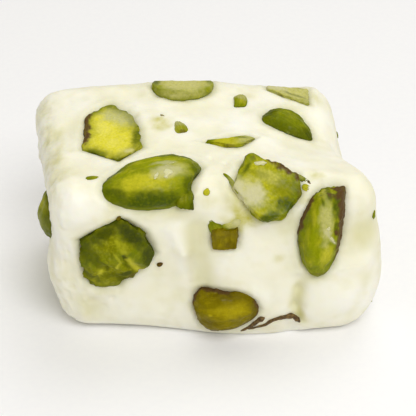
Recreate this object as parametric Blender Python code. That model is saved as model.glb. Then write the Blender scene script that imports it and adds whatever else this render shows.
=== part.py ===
"""A hand-cut bar of soft white nougat with whole, sliced and broken pistachio kernels set in all six faces.

The bar lies on its flat underside: +X runs along its length, +Y to its back and +Z up, and the origin is
the middle of the underside. The named sizes are in millimetres and degrees; the meshes are in metres.
"""

import math
from dataclasses import dataclass

import bmesh
import bpy
from mathutils import Matrix, Vector

MM = 0.001

# The block before its corners are pulled about.
LENGTH = 53.0
DEPTH = 32.0
HEIGHT = 30.0
EDGE_RADIUS = 4.5
HALF = (LENGTH / 2, DEPTH / 2, HEIGHT / 2)

# Carries the middle of the finished bar's box onto the origin.
CENTRING = Vector((0.25, 0.0, 0.0))

# Faces of the mesh grid: rows on each rounded edge, and rows between the edges.
EDGE_ROWS = 2
FLAT_ROWS = 10

# How far the knife and the soft sweet pull each corner out of square, by the corner's side along X, Y and Z.
CORNER_SHIFTS = {
    (-1, -1, 1): (1.0, 0.5, -0.5),
    (1, -1, 1): (-1.0, 0.0, -1.5),
    (-1, 1, 1): (-1.5, 0.5, 0.0),
    (1, 1, 1): (-5.6, -1.0, 0.0),
    (-1, -1, -1): (2.0, 4.5, 0.0),
    (1, -1, -1): (-3.0, 0.5, 0.0),
    (-1, 1, -1): (0.5, 0.0, 0.0),
    (1, 1, -1): (-1.0, -1.0, 0.0),
}


@dataclass(frozen=True)
class Swell:
    """A soft rise of the surface, or a hollow where the height is negative."""

    centre: tuple
    reach: float
    height: float


SWELLS = (
    Swell((-1, 16, 30), 15.0, 1.7),  # crown along the top's back edge
    Swell((6, -16, 2), 15.0, 2.2),  # belly of the front face
    Swell((26, -12, 15), 8.0, 1.4),  # right front edge
    Swell((20, -16, 10), 6.0, 1.2),  # round lobe at the lower right of the front
    Swell((-23, -16, 25), 7.0, 0.6),  # upper left of the front
    Swell((-7, -16, 19), 5.0, 0.9),  # upright ridge beside the broken kernel
    Swell((24.7, -0.5, 28.2), 8.2, -3.5),  # top of the right end, pressed in
    Swell((-17, 16, 30), 7.0, 0.7),  # left end of that crown
    Swell((25, -12, 7), 5.0, 0.9),  # foot of the right front edge
    Swell((-25.5, -11.5, 11.5), 5.5, 1.4),  # bulge low on the left front edge
    Swell((-26, -8, 22), 6.0, -0.7),  # left end, beside the proud kernel
    Swell((-12, 16, 10), 9.0, 1.0),  # back face
    Swell((12, 16, 20), 8.0, -0.8),
    Swell((26, 6, 8), 8.0, 0.9),  # right end
)


@dataclass(frozen=True)
class Furrow:
    """A crease in the surface that runs straight from start to end."""

    start: tuple
    end: tuple
    width: float
    depth: float


FURROWS = (
    Furrow((13.2, -16, 3), (13.6, -16, 12), 1.5, 0.9),  # left side of the round lobe
    Furrow((-2.5, -16, 23), (-2.5, -16, 10), 3.0, 0.6),  # right side of the upright ridge
)

# Each face's outward normal and its u axis; its v axis is their cross product.
FACES = {
    "top": (Vector((0, 0, 1)), Vector((1, 0, 0))),
    "front": (Vector((0, -1, 0)), Vector((1, 0, 0))),
    "right": (Vector((1, 0, 0)), Vector((0, 1, 0))),
    "left": (Vector((-1, 0, 0)), Vector((0, -1, 0))),
    "back": (Vector((0, 1, 0)), Vector((-1, 0, 0))),
    "bottom": (Vector((0, 0, -1)), Vector((1, 0, 0))),
}

POCKET_GAP = 0.3  # between a kernel and the nougat round it
SLICE_PROUD = 0.2  # a sliced kernel stands this far out of the face it was cut with
SLICE_UNDER = -0.15  # under the bar it stays clear of what the bar rests on
KERNEL_SEGMENTS = 10
KERNEL_RINGS = 8
TIP_TAPER = 0.22  # how much slimmer a kernel's pointed half is than its blunt half


@dataclass(frozen=True)
class Kernel:
    """One pistachio kernel: where it sits on a face, its size, how it lies and how it was cut.

    heading turns its long axis from the face's u axis, nose lifts its pointed end, and roll turns it about
    its length. sink is how far its centre lies under the surface. A kernel that the knife went through has
    proud, the height of the slice above the surface. Each chop is (bearing, rise, reach): the direction of
    a broken side from the long axis, its tilt towards the surface, and its distance from the centre.
    """

    name: str
    face: str
    u: float
    v: float
    length: float
    width: float
    thickness: float
    heading: float
    sink: float
    finish: str = "green"
    proud: float | None = None
    nose: float = 0.0
    roll: float = 0.0
    bend: float = 0.0
    taper: float = TIP_TAPER
    chops: tuple = ()


KERNELS = (
    # Top face, from the left end to the right.
    Kernel("pistachio_top_yellow", "top", -14.5, 0.2, 17.0, 12.0, 8.0, 84, 0.8, "flesh", SLICE_PROUD,
           chops=((90, 0, 4.3), (155, 0, 5.7), (228, 0, 6.0), (283, 0, 4.3), (317, 0, 5.6), (37, 0, 7.0))),
    Kernel("pistachio_top_back", "top", -0.1, 12.8, 9.6, 9.8, 7.0, 88, 0.6, "green", SLICE_PROUD,
           chops=((0, 0, 3.3), (0, 30, 2.0), (0, 58, 1.0))),
    Kernel("pistachio_top_flake", "top", 4.8, -3.0, 8.6, 3.0, 3.2, 4, 0.5, "green", SLICE_PROUD),
    Kernel("pistachio_top_dark", "top", 16.2, 2.7, 9.4, 6.2, 5.4, -25, 1.2, "green", bend=0.4),
    Kernel("pistachio_top_corner", "top", 19.1, 11.4, 8.4, 6.0, 6.0, -28, 0.6, "green", SLICE_PROUD,
           chops=((116, 0, 2.4), (116, 35, 1.4), (270, 0, 1.6), (28, 0, 2.7))),
    # The rounded edge between the top and the front.
    Kernel("pistachio_edge_large", "top", -9.9, -12.3, 16.4, 8.8, 6.6, 192, 1.0, "green", roll=-6,
           chops=((142, 0, 5.9),)),
    Kernel("pistachio_edge_veiled", "top", 8.3, -14.9, 12.8, 11.0, 6.4, -50, 0.8, "green", 0.5,
           chops=((200, 10, 5.2), (112, 0, 3.8), (60, 0, 4.6), (8, 0, 4.5), (-30, 0, 4.9), (-92, 0, 4.4))),
    # Front face.
    Kernel("pistachio_front_tall", "front", 17.05, 8.1, 19.0, 6.6, 6.6, 83, 1.0, "green", nose=-6, bend=0.3,
           taper=0.12, chops=((0, 0, 5.7), (50, 0, 4.5))),
    Kernel("pistachio_front_broken", "front", -16.6, 2.4, 19.6, 15.4, 7.4, 72, 0.9, "green",
           chops=((52, 0, 6.2), (116, 0, 5.3), (157, 0, 7.0), (205, 0, 6.7), (252, 0, 4.1), (310, 0, 5.9),
                  (336, 0, 6.5), (0, -40, 5.6), (40, 74, 2.9), (200, 74, 2.7))),
    Kernel("pistachio_front_small", "front", 1.1, 6.2, 6.4, 5.8, 4.6, 92, 0.7, "olive", 0.9,
           chops=((0, 0, 1.5), (92, 0, 2.0), (180, 0, 2.0), (270, 0, 1.9))),
    Kernel("pistachio_front_low", "front", 1.5, -8.2, 10.8, 8.4, 7.2, 3, 1.0, "olive",
           chops=((90, 10, 3.4), (196, 0, 4.8), (20, 0, 4.9))),
    # Left end.
    Kernel("pistachio_left_proud", "left", 7.6, 5.6, 10.0, 6.4, 5.4, 80, 0.5, "green"),
    Kernel("pistachio_left_sliced", "left", -6.4, 0.5, 12.6, 8.4, 7.0, 24, 0.9, "flesh", 0.0),
    Kernel("pistachio_left_low", "left", 3.2, -8.0, 9.2, 6.2, 5.6, -12, 1.0, "green", 0.0),
    # Right end.
    Kernel("pistachio_right_sliced", "right", -3.4, 4.2, 14.0, 8.8, 7.4, 48, 0.9, "flesh", SLICE_PROUD),
    Kernel("pistachio_right_round", "right", 7.8, -4.6, 10.0, 8.2, 7.0, 8, 1.4, "olive"),
    Kernel("pistachio_right_low", "right", -6.4, -7.6, 9.4, 6.0, 5.4, -32, 1.2, "green"),
    # Back face.
    Kernel("pistachio_back_whole", "back", -14.6, -1.0, 15.6, 8.8, 7.2, 34, 1.3, "green", bend=0.5),
    Kernel("pistachio_back_sliced", "back", 1.6, -3.4, 14.2, 9.2, 8.0, 12, 0.8, "flesh", SLICE_PROUD),
    Kernel("pistachio_back_tall", "back", 15.4, 5.2, 11.6, 8.0, 7.0, 78, 1.0, "olive", SLICE_PROUD),
    Kernel("pistachio_back_slim", "back", 16.0, -8.0, 12.6, 7.0, 6.4, -12, 1.5, "green"),
    Kernel("pistachio_back_chip", "back", -5.0, 6.2, 7.4, 5.4, 5.0, 60, 0.8, "green", 0.6,
           chops=((0, 0, 2.6), (120, 0, 2.3))),
    # Underside.
    Kernel("pistachio_under_left", "bottom", -14.0, 3.2, 14.4, 8.6, 7.2, 22, 0.9, "flesh", SLICE_UNDER),
    Kernel("pistachio_under_middle", "bottom", 4.2, -3.6, 12.4, 8.2, 7.2, 104, 1.0, "green", SLICE_UNDER),
    Kernel("pistachio_under_right", "bottom", 15.0, 3.2, 11.0, 7.6, 6.8, -34, 0.9, "flesh", SLICE_UNDER),
)

# Finish name: base colour, roughness.
FINISHES = {
    "nougat": ((0.87, 0.84, 0.68), 0.48),
    "flesh": ((0.62, 0.60, 0.12), 0.55),
    "green": ((0.17, 0.22, 0.02), 0.38),
    "olive": ((0.30, 0.25, 0.03), 0.38),
}


def clear_scene():
    """Removes every object, so that the file holds only the bar."""
    for obj in list(bpy.data.objects):
        bpy.data.objects.remove(obj)


def make_material(name):
    """A Principled material for one of the named finishes."""
    colour, roughness = FINISHES[name]
    material = bpy.data.materials.new(name)
    material.use_nodes = True
    shader = material.node_tree.nodes["Principled BSDF"]
    shader.inputs["Base Color"].default_value = (*colour, 1.0)
    shader.inputs["Roughness"].default_value = roughness
    return material


def round_off(point):
    """Moves a point of the sharp block onto the block with rounded edges; returns it with its outward normal."""
    core = Vector(
        max(-(half - EDGE_RADIUS), min(half - EDGE_RADIUS, x)) for x, half in zip(point, HALF)
    )
    outward = (point - core).normalized()
    return core + outward * EDGE_RADIUS, outward


def corner_pull(point):
    """How far the eight shifted corners carry a point of the block, weighted by how near each one is."""
    pull = Vector((0, 0, 0))
    for sides, shift in CORNER_SHIFTS.items():
        near = math.prod((1 + side * x / half) / 2 for side, x, half in zip(sides, point, HALF))
        pull += near * Vector(shift)
    return pull


def surface_rise(place):
    """Sum of the swells and furrows at a place on the upright block."""
    rise = 0.0
    for swell in SWELLS:
        away = (place - Vector(swell.centre)).length
        rise += swell.height * math.exp(-((away / swell.reach) ** 2))
    for furrow in FURROWS:
        start = Vector(furrow.start)
        run = Vector(furrow.end) - start
        along = max(0.0, min(1.0, (place - start).dot(run) / run.length_squared))
        away = (place - start - run * along).length
        rise -= furrow.depth * math.exp(-((away / furrow.width) ** 2))
    return rise


def block_point(point):
    """Where a point of the sharp, centred block lies on the finished bar, in millimetres."""
    rounded, outward = round_off(point)
    place = rounded + Vector((0, 0, HALF[2]))
    moved = place + corner_pull(rounded) + outward * surface_rise(place)
    moved.z = max(0.0, moved.z)
    return moved + CENTRING


def face_point(face, u, v):
    """The bar's surface at u, v on a face, measured from the middle of that face."""
    normal, u_axis = FACES[face]
    depth = sum(abs(n) * half for n, half in zip(normal, HALF))
    return block_point(normal * depth + u_axis * u + normal.cross(u_axis) * v)


def face_frame(face, u, v):
    """The surface point at u, v and a rotation whose columns are u, v and the outward normal there."""
    step = 0.05
    along = face_point(face, u + step, v) - face_point(face, u - step, v)
    across = face_point(face, u, v + step) - face_point(face, u, v - step)
    normal = along.cross(across).normalized()
    along.normalize()
    return face_point(face, u, v), Matrix((along, normal.cross(along), normal)).transposed()


def stations(half):
    """Where the grid's rows cross one axis: close together round the edges, even between them."""
    flat = half - EDGE_RADIUS
    edge = [flat + EDGE_RADIUS * math.tan(math.pi / 4 * i / EDGE_ROWS) for i in range(1, EDGE_ROWS + 1)]
    inner = [flat * (2 * i / FLAT_ROWS - 1) for i in range(FLAT_ROWS + 1)]
    return [-x for x in reversed(edge)] + inner + edge


def build_nougat(pockets):
    """The white bar itself, with a pocket cut for each kernel."""
    rows = FLAT_ROWS + 2 * EDGE_ROWS
    lines = [stations(half) for half in HALF]
    bm = bmesh.new()
    bmesh.ops.create_cube(bm, size=2.0)
    bmesh.ops.subdivide_edges(bm, edges=bm.edges[:], cuts=rows - 1, use_grid_fill=True)
    for vert in bm.verts:
        index = [round((x + 1) / 2 * rows) for x in vert.co]
        vert.co = block_point(Vector(line[i] for line, i in zip(lines, index))) * MM
    mesh = bpy.data.meshes.new("nougat")
    bm.to_mesh(mesh)
    bm.free()
    mesh.shade_smooth()
    mesh.set_sharp_from_angle(angle=math.radians(50))
    bar = bpy.data.objects.new("nougat", mesh)
    cut = bar.modifiers.new("kernel pockets", "BOOLEAN")
    cut.operation = "DIFFERENCE"
    cut.solver = "EXACT"
    cut.operand_type = "COLLECTION"
    cut.collection = pockets
    return bar


def lie_of(kernel):
    """The kernel's own rotation on the face: heading, then nose, then roll."""
    turns = ((kernel.heading, "Z"), (-kernel.nose, "Y"), (kernel.roll, "X"))
    lie = Matrix.Identity(3)
    for degrees, axis in turns:
        lie = lie @ Matrix.Rotation(math.radians(degrees), 3, axis)
    return lie


def kernel_point(kernel, direction, grow):
    """A point of the whole kernel's skin, from a direction on the unit sphere whose pole is the long axis."""
    tip = direction.z
    slim = 1 - kernel.taper * tip
    return Vector((
        (kernel.length / 2 + grow) * tip,
        (kernel.width / 2 + grow) * slim * direction.x + kernel.bend * (1 - 2 * tip * tip),
        (kernel.thickness / 2 + grow) * slim * direction.y,
    ))


def trim(bm, point, normal):
    """Cuts off what lies beyond a plane and closes the cut with one flat face."""
    geometry = bm.verts[:] + bm.edges[:] + bm.faces[:]
    bmesh.ops.bisect_plane(bm, geom=geometry, dist=1e-7, plane_co=point * MM, plane_no=normal, clear_outer=True)
    rim = [edge for edge in bm.edges if edge.is_boundary]
    bmesh.ops.holes_fill(bm, edges=rim, sides=0)


def kernel_mesh(kernel, grow=0.0, sliced=True):
    """A kernel's mesh in its own frame, long axis on +X and the bar's surface above it on +Z."""
    bm = bmesh.new()
    bmesh.ops.create_uvsphere(bm, u_segments=KERNEL_SEGMENTS, v_segments=KERNEL_RINGS, radius=1.0)
    for vert in bm.verts:
        vert.co = kernel_point(kernel, vert.co.copy(), grow) * MM
    for bearing, rise, reach in kernel.chops:
        turn, lift = math.radians(bearing), math.radians(rise)
        side = Vector((math.cos(turn) * math.cos(lift), math.sin(turn) * math.cos(lift), math.sin(lift)))
        trim(bm, side * (reach + grow), side)
    if sliced and kernel.proud is not None:
        up = lie_of(kernel).transposed() @ Vector((0, 0, 1))
        trim(bm, up * (kernel.sink + kernel.proud), up)
    bm.normal_update()
    bmesh.ops.recalc_face_normals(bm, faces=bm.faces)
    mesh = bpy.data.meshes.new(kernel.name)
    bm.to_mesh(mesh)
    bm.free()
    mesh.shade_smooth()
    mesh.set_sharp_from_angle(angle=math.radians(35))
    return mesh


def place_kernel(kernel, obj):
    """Sets an object at the kernel's place, sunk under the face and turned as the kernel lies."""
    point, frame = face_frame(kernel.face, kernel.u, kernel.v)
    centre = point - frame.col[2] * kernel.sink
    obj.matrix_world = Matrix.Translation(centre * MM) @ (frame @ lie_of(kernel)).to_4x4()


def build_kernel(kernel, material):
    """The kernel as its own solid."""
    obj = bpy.data.objects.new(kernel.name, kernel_mesh(kernel))
    obj.data.materials.append(material)
    place_kernel(kernel, obj)
    return obj


def build_pocket(kernel):
    """The cutter that makes room for the kernel. It isn't sliced, so it opens the surface above."""
    cutter = bpy.data.objects.new("pocket of " + kernel.name, kernel_mesh(kernel, POCKET_GAP, sliced=False))
    cutter.hide_render = True
    cutter.display_type = "WIRE"
    place_kernel(kernel, cutter)
    return cutter


def main():
    """Builds the bar: the nougat with its pockets, and the kernels in them."""
    clear_scene()
    materials = {name: make_material(name) for name in FINISHES}
    scene_objects = bpy.context.scene.collection.objects
    pockets = bpy.data.collections.new("pockets")
    bpy.context.scene.collection.children.link(pockets)
    for kernel in KERNELS:
        pockets.objects.link(build_pocket(kernel))
        scene_objects.link(build_kernel(kernel, materials[kernel.finish]))
    bar = build_nougat(pockets)
    bar.data.materials.append(materials["nougat"])
    scene_objects.link(bar)


main()
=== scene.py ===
"""The looks of a hand-cut bar of soft white nougat with pistachio kernels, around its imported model.

The bar lies on a pale table in soft studio light. Its form, the kernels' places and their cuts are worked
out in millimetres from the same named sizes as the solids, with finer relief, and the meshes are written
in metres. Every piece rides on the one rigid body.
"""

from __future__ import annotations

import logging
import math
from dataclasses import dataclass
from enum import Enum

import bpy
import numpy as np
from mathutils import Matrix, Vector, noise
from mathutils.bvhtree import BVHTree
from mathutils.kdtree import KDTree


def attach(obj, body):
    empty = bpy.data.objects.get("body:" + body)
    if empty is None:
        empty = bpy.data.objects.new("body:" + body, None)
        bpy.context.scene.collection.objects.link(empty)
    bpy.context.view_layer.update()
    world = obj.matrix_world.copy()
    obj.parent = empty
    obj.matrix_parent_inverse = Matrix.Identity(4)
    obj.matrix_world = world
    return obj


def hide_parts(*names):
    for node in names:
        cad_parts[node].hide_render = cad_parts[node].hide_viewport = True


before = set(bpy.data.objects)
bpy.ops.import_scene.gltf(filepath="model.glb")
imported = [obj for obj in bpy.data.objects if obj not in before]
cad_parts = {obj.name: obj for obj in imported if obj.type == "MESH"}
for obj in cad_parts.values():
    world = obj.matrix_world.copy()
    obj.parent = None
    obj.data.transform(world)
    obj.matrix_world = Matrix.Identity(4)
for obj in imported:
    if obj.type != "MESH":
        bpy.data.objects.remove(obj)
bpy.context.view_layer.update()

LOG = logging.getLogger("nougat_bar")
BODY = "root"
MM = 0.001
CENTRING = np.array((0.25, 0.0, 0.0))  # carries the middle of the bar's box onto the origin
FAR = 9.0  # a distance in millimetres that stands for nothing near
TINY = 1e-9  # keeps a division clear of zero


class Face(Enum):
    """The bar's six faces: outward normal and u axis. The v axis is their cross product."""

    TOP = ((0, 0, 1), (1, 0, 0))
    FRONT = ((0, -1, 0), (1, 0, 0))
    RIGHT = ((1, 0, 0), (0, 1, 0))
    LEFT = ((-1, 0, 0), (0, -1, 0))
    BACK = ((0, 1, 0), (-1, 0, 0))
    UNDER = ((0, 0, -1), (1, 0, 0))

    def axes(self) -> tuple[np.ndarray, np.ndarray, np.ndarray]:
        """Returns the face's normal, u axis and v axis."""
        normal, u_axis = np.array(self.value, float)
        return normal, u_axis, np.cross(normal, u_axis)


# ---------------------------------------------------------------------------------------------------
# Small tools for shapes
# ---------------------------------------------------------------------------------------------------


def unit(vectors: np.ndarray) -> np.ndarray:
    """Scales each row to length one."""
    return vectors / np.maximum(np.linalg.norm(vectors, axis=-1, keepdims=True), TINY)


def distance(points: np.ndarray, place: np.ndarray | tuple) -> np.ndarray:
    """Distance from each point to one place."""
    return np.linalg.norm(points - place, axis=1)


def ramp(values: np.ndarray, low: float, high: float) -> np.ndarray:
    """Smooth step from 0 at low to 1 at high."""
    part = np.clip((values - low) / (high - low), 0, 1)
    return part * part * (3 - 2 * part)


def bell(away: np.ndarray, reach: float) -> np.ndarray:
    """A soft hump: 1 at no distance, about a third at reach, and next to nothing at twice that."""
    return np.exp(-((away / reach) ** 2))


def rotation(axis: int, degrees: float) -> np.ndarray:
    """The matrix that turns columns about X, Y or Z, which are 0, 1 and 2."""
    angle = math.radians(degrees)
    a, b = (axis + 1) % 3, (axis + 2) % 3
    matrix = np.eye(3)
    matrix[a, a] = matrix[b, b] = math.cos(angle)
    matrix[b, a], matrix[a, b] = math.sin(angle), -math.sin(angle)
    return matrix


def ripple(points: np.ndarray, size: float, seed: float, octaves: int = 1) -> np.ndarray:
    """Perlin noise at each point.

    Args:
        points: places in millimetres.
        size: distance between the swells of the coarsest octave.
        seed: moves the pattern, so that two calls differ.
        octaves: how many finer layers are added, each half the size.

    Returns:
        One value a point, from about -1 to 1.
    """
    shift = Vector((seed * 7.31, seed * 3.77, seed * 5.19))
    spots = (Vector(p) + shift for p in (points / size).tolist())
    if octaves == 1:
        return np.array([noise.noise(p) for p in spots])
    return np.array([noise.fractal(p, 1.0, 2.0, octaves) for p in spots])


@dataclass(frozen=True)
class Grain:
    """One layer of uneven relief: the distance between its swells, its height, its layers and its seed."""

    size: float
    height: float
    octaves: int
    seed: float

    def at(self, points: np.ndarray, seed: float = 0.0) -> np.ndarray:
        """The relief at each point. The seed is added to the layer's own."""
        return self.height * ripple(points, self.size, seed + self.seed, self.octaves)


def near_line(points: np.ndarray, start: np.ndarray, end: np.ndarray) -> np.ndarray:
    """Distance from each point to the straight line between two ends."""
    run = end - start
    along = np.clip((points - start) @ run / (run @ run), 0, 1)
    return np.linalg.norm(points - start - along[:, None] * run, axis=1)


def box_shell(lines: list[np.ndarray]) -> tuple[np.ndarray, np.ndarray]:
    """The welded quads on the six sides of a box.

    Args:
        lines: where the rows of quads cross X, Y and Z.

    Returns:
        The corner points, and the quads as indices into them, all facing out.
    """
    last = [len(line) - 1 for line in lines]
    cells, quads, count = [], [], 0
    for axis in range(3):
        a, b = (axis + 1) % 3, (axis + 2) % 3
        for side in (0, last[axis]):
            i, j = np.meshgrid(np.arange(last[a] + 1), np.arange(last[b] + 1), indexing="ij")
            cell = np.zeros((*i.shape, 3), int)
            cell[..., axis], cell[..., a], cell[..., b] = side, i, j
            ids = count + np.arange(i.size).reshape(i.shape)
            quad = np.stack([ids[:-1, :-1], ids[1:, :-1], ids[1:, 1:], ids[:-1, 1:]], -1).reshape(-1, 4)
            quads.append(quad if side else quad[:, ::-1])
            cells.append(cell.reshape(-1, 3))
            count += i.size
    cells, welded = np.unique(np.concatenate(cells), axis=0, return_inverse=True)
    points = np.stack([line[cells[:, axis]] for axis, line in enumerate(lines)], 1)
    return points, welded.reshape(-1)[np.concatenate(quads)]


def ball_shell(rows: int) -> tuple[np.ndarray, np.ndarray]:
    """The corners and quads of a ball of radius one, made from a cube with so many rows to a side."""
    line = np.tan(np.linspace(-math.pi / 4, math.pi / 4, rows + 1))
    corners, quads = box_shell([line, line, line])
    return unit(corners), quads


def make_piece(name: str, points: np.ndarray, quads: np.ndarray, material: bpy.types.Material,
               marks: dict[str, np.ndarray]) -> bpy.types.Object:
    """Makes a smooth mesh object at the origin.

    Args:
        name: the piece's name.
        points: corner places in millimetres.
        quads: indices of the corners of each face.
        material: its finish.
        marks: point attributes by name, numbers or vectors, that the finish reads.

    Returns:
        The new object, linked to the scene.
    """
    mesh = bpy.data.meshes.new(name)
    mesh.from_pydata((points * MM).tolist(), [], quads.tolist())
    mesh.shade_smooth()
    for mark, values in marks.items():
        kind, field = ("FLOAT", "value") if values.ndim == 1 else ("FLOAT_VECTOR", "vector")
        layer = mesh.attributes.new(mark, kind, "POINT")
        layer.data.foreach_set(field, values.astype(np.float32).ravel())
    mesh.materials.append(material)
    piece = bpy.data.objects.new(name, mesh)
    bpy.context.scene.collection.objects.link(piece)
    return piece


def outward_normals(points: np.ndarray, quads: np.ndarray) -> np.ndarray:
    """Unit normals at the corners of a quad mesh, each the sum of its faces' normals."""
    corner = points[quads]
    flat = np.cross(corner[:, 2] - corner[:, 0], corner[:, 3] - corner[:, 1])
    total = np.zeros_like(points)
    for side in range(4):
        np.add.at(total, quads[:, side], flat)
    return unit(total)


# ---------------------------------------------------------------------------------------------------
# The form of the bar
# ---------------------------------------------------------------------------------------------------


@dataclass(frozen=True)
class Swell:
    """A soft rise of the surface, or a dip where the height is negative."""

    centre: tuple[float, float, float]
    reach: float
    height: float

    def rise(self, points: np.ndarray) -> np.ndarray:
        """How far it lifts the surface at each point."""
        return self.height * bell(distance(points, self.centre), self.reach)


@dataclass(frozen=True)
class Furrow:
    """A crease in the surface that runs straight from start to end, or a ridge where depth is negative."""

    start: tuple[float, float, float]
    end: tuple[float, float, float]
    width: float
    depth: float

    def away(self, points: np.ndarray) -> np.ndarray:
        """Distance from each point to its middle line."""
        return near_line(points, np.array(self.start, float), np.array(self.end, float))

    def rise(self, points: np.ndarray) -> np.ndarray:
        """How far it lifts the surface at each point, which is less than nothing in a crease."""
        return -self.depth * bell(self.away(points), self.width)


@dataclass(frozen=True)
class Block:
    """The bar's form: a block with rounded edges, pulled out of square, that swells and sinks."""

    length: float = 53.0
    depth: float = 32.0
    height: float = 30.0
    edge_radius: float = 4.5
    corner_shifts: tuple = (
        ((-1, -1, 1), (1.0, 0.5, -0.5)),
        ((1, -1, 1), (-1.0, 0.0, -1.5)),
        ((-1, 1, 1), (-1.5, 0.5, 0.0)),
        ((1, 1, 1), (-5.6, -1.0, 0.0)),
        ((-1, -1, -1), (2.0, 4.5, 0.0)),
        ((1, -1, -1), (-3.0, 0.5, 0.0)),
        ((-1, 1, -1), (0.5, 0.0, 0.0)),
        ((1, 1, -1), (-1.0, -1.0, 0.0)),
    )
    forms: tuple[Swell | Furrow, ...] = (
        Swell((-1, 16, 30), 15.0, 1.7),  # crown along the top's back edge
        Swell((6, -16, 2), 15.0, 2.2),  # belly of the front face
        Swell((26, -12, 15), 8.0, 1.4),  # right front edge
        Swell((20, -16, 10), 6.0, 1.2),  # round lobe at the lower right of the front
        Swell((-23, -16, 25), 7.0, 0.6),  # upper left of the front
        Swell((-7, -16, 19), 5.0, 0.9),  # upright ridge beside the broken kernel
        Swell((24.7, -0.5, 28.2), 8.2, -3.5),  # top of the right end, pressed in
        Swell((-17, 16, 30), 7.0, 0.7),  # left end of that crown
        Swell((25, -12, 7), 5.0, 0.9),  # foot of the right front edge
        Swell((-25.5, -11.5, 11.5), 5.5, 1.4),  # bulge low on the left front edge
        Swell((-26, -8, 22), 6.0, -0.7),  # left end, beside the proud kernel
        Swell((-12, 16, 10), 9.0, 1.0),  # back face
        Swell((12, 16, 20), 8.0, -0.8),
        Swell((26, 6, 8), 8.0, 0.9),  # right end
        Furrow((13.2, -16, 3), (13.6, -16, 12), 1.5, 0.9),  # left side of the round lobe
        Furrow((-2.5, -16, 23), (-2.5, -16, 10), 3.0, 0.6),  # right side of the upright ridge
    )

    def half(self) -> np.ndarray:
        """Half the block's length, depth and height."""
        return np.array((self.length, self.depth, self.height)) / 2

    def shape(self, points: np.ndarray) -> tuple[np.ndarray, np.ndarray]:
        """Carries points of the sharp, centred block onto the bar.

        Args:
            points: places on the sharp block, in millimetres.

        Returns:
            Their places on the bar, and the outward direction at each.
        """
        half = self.half()
        core = np.clip(points, -(half - self.edge_radius), half - self.edge_radius)
        outward = unit(points - core)
        rounded = core + outward * self.edge_radius
        place = rounded + (0, 0, half[2])
        moved = place.copy()
        for sides, shift in self.corner_shifts:
            near = np.prod((1 + np.array(sides) * rounded / half) / 2, axis=1)
            moved += near[:, None] * np.array(shift)
        rise = np.zeros(len(points))
        for form in self.forms:
            rise += form.rise(place)
        moved += outward * rise[:, None]
        moved[:, 2] = np.maximum(moved[:, 2], 0)
        return moved + CENTRING, outward

    def face_points(self, face: Face, spots: np.ndarray) -> np.ndarray:
        """Places on the bar of u, v spots on a face, each measured from the face's middle."""
        normal, u_axis, v_axis = face.axes()
        reach = np.abs(normal) @ self.half()
        return self.shape(normal * reach + spots[:, :1] * u_axis + spots[:, 1:] * v_axis)[0]

    def frame_at(self, face: Face, u: float, v: float) -> tuple[np.ndarray, np.ndarray]:
        """The surface point at u, v and a matrix whose columns are u, v and the outward normal there."""
        step = 0.05
        spots = np.array(((u, v), (u + step, v), (u - step, v), (u, v + step), (u, v - step)))
        point, right, left, up, down = self.face_points(face, spots)
        along = unit(right - left)
        normal = unit(np.cross(along, up - down))
        return point, np.stack((along, np.cross(normal, along), normal), axis=1)


# ---------------------------------------------------------------------------------------------------
# Finishes
# ---------------------------------------------------------------------------------------------------


def linear(colour: str) -> tuple[float, float, float, float]:
    """Turns an sRGB hex colour such as "F2EEDC" into linear red, green, blue and an alpha of one."""
    parts = [int(colour[i:i + 2], 16) / 255 for i in (0, 2, 4)]
    return (*(c / 12.92 if c <= 0.04045 else ((c + 0.055) / 1.055) ** 2.4 for c in parts), 1.0)


def add_node(tree: bpy.types.NodeTree, kind: str, inputs: dict | None = None, **settings) -> bpy.types.Node:
    """Adds a node to a tree.

    Args:
        tree: the material's or the geometry's node tree.
        kind: the node's type name.
        inputs: by input name or number, the socket that it is linked to or the value that it is set to.
        **settings: the node's own properties.

    Returns:
        The new node.
    """
    node = tree.nodes.new(kind)
    for setting, value in settings.items():
        setattr(node, setting, value)
    for key, value in (inputs or {}).items():
        if isinstance(value, bpy.types.NodeSocket):
            tree.links.new(value, node.inputs[key])
        else:
            node.inputs[key].default_value = value
    return node


def new_material(name: str) -> tuple[bpy.types.Material, bpy.types.NodeTree]:
    """An empty node material and its tree."""
    material = bpy.data.materials.new(name)
    material.use_nodes = True
    material.node_tree.nodes.clear()
    return material, material.node_tree


def dress(tree: bpy.types.NodeTree, inputs: dict) -> None:
    """Ends a material's tree with a Principled shader that has these inputs."""
    shader = add_node(tree, "ShaderNodeBsdfPrincipled", inputs)
    add_node(tree, "ShaderNodeOutputMaterial", {"Surface": shader.outputs[0]})


def lay_coats(tree: bpy.types.NodeTree, base: str | bpy.types.NodeSocket,
              coats: tuple) -> bpy.types.NodeSocket:
    """Lays coats of colour one over another.

    Args:
        tree: the material's node tree.
        base: the lowest colour, as sRGB hex or a socket.
        coats: for each coat its colour and the sockets whose product says how strong it is.

    Returns:
        The socket of the colour that shows.
    """
    colour = linear(base) if isinstance(base, str) else base
    for tint, factor, *others in coats:
        for other in others:
            factor = add_node(tree, "ShaderNodeMath", {0: factor, 1: other}, operation="MULTIPLY").outputs[0]
        tint = linear(tint) if isinstance(tint, str) else tint
        colour = add_node(tree, "ShaderNodeMix", {0: factor, 6: colour, 7: tint}, data_type="RGBA").outputs[2]
    return colour


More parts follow.
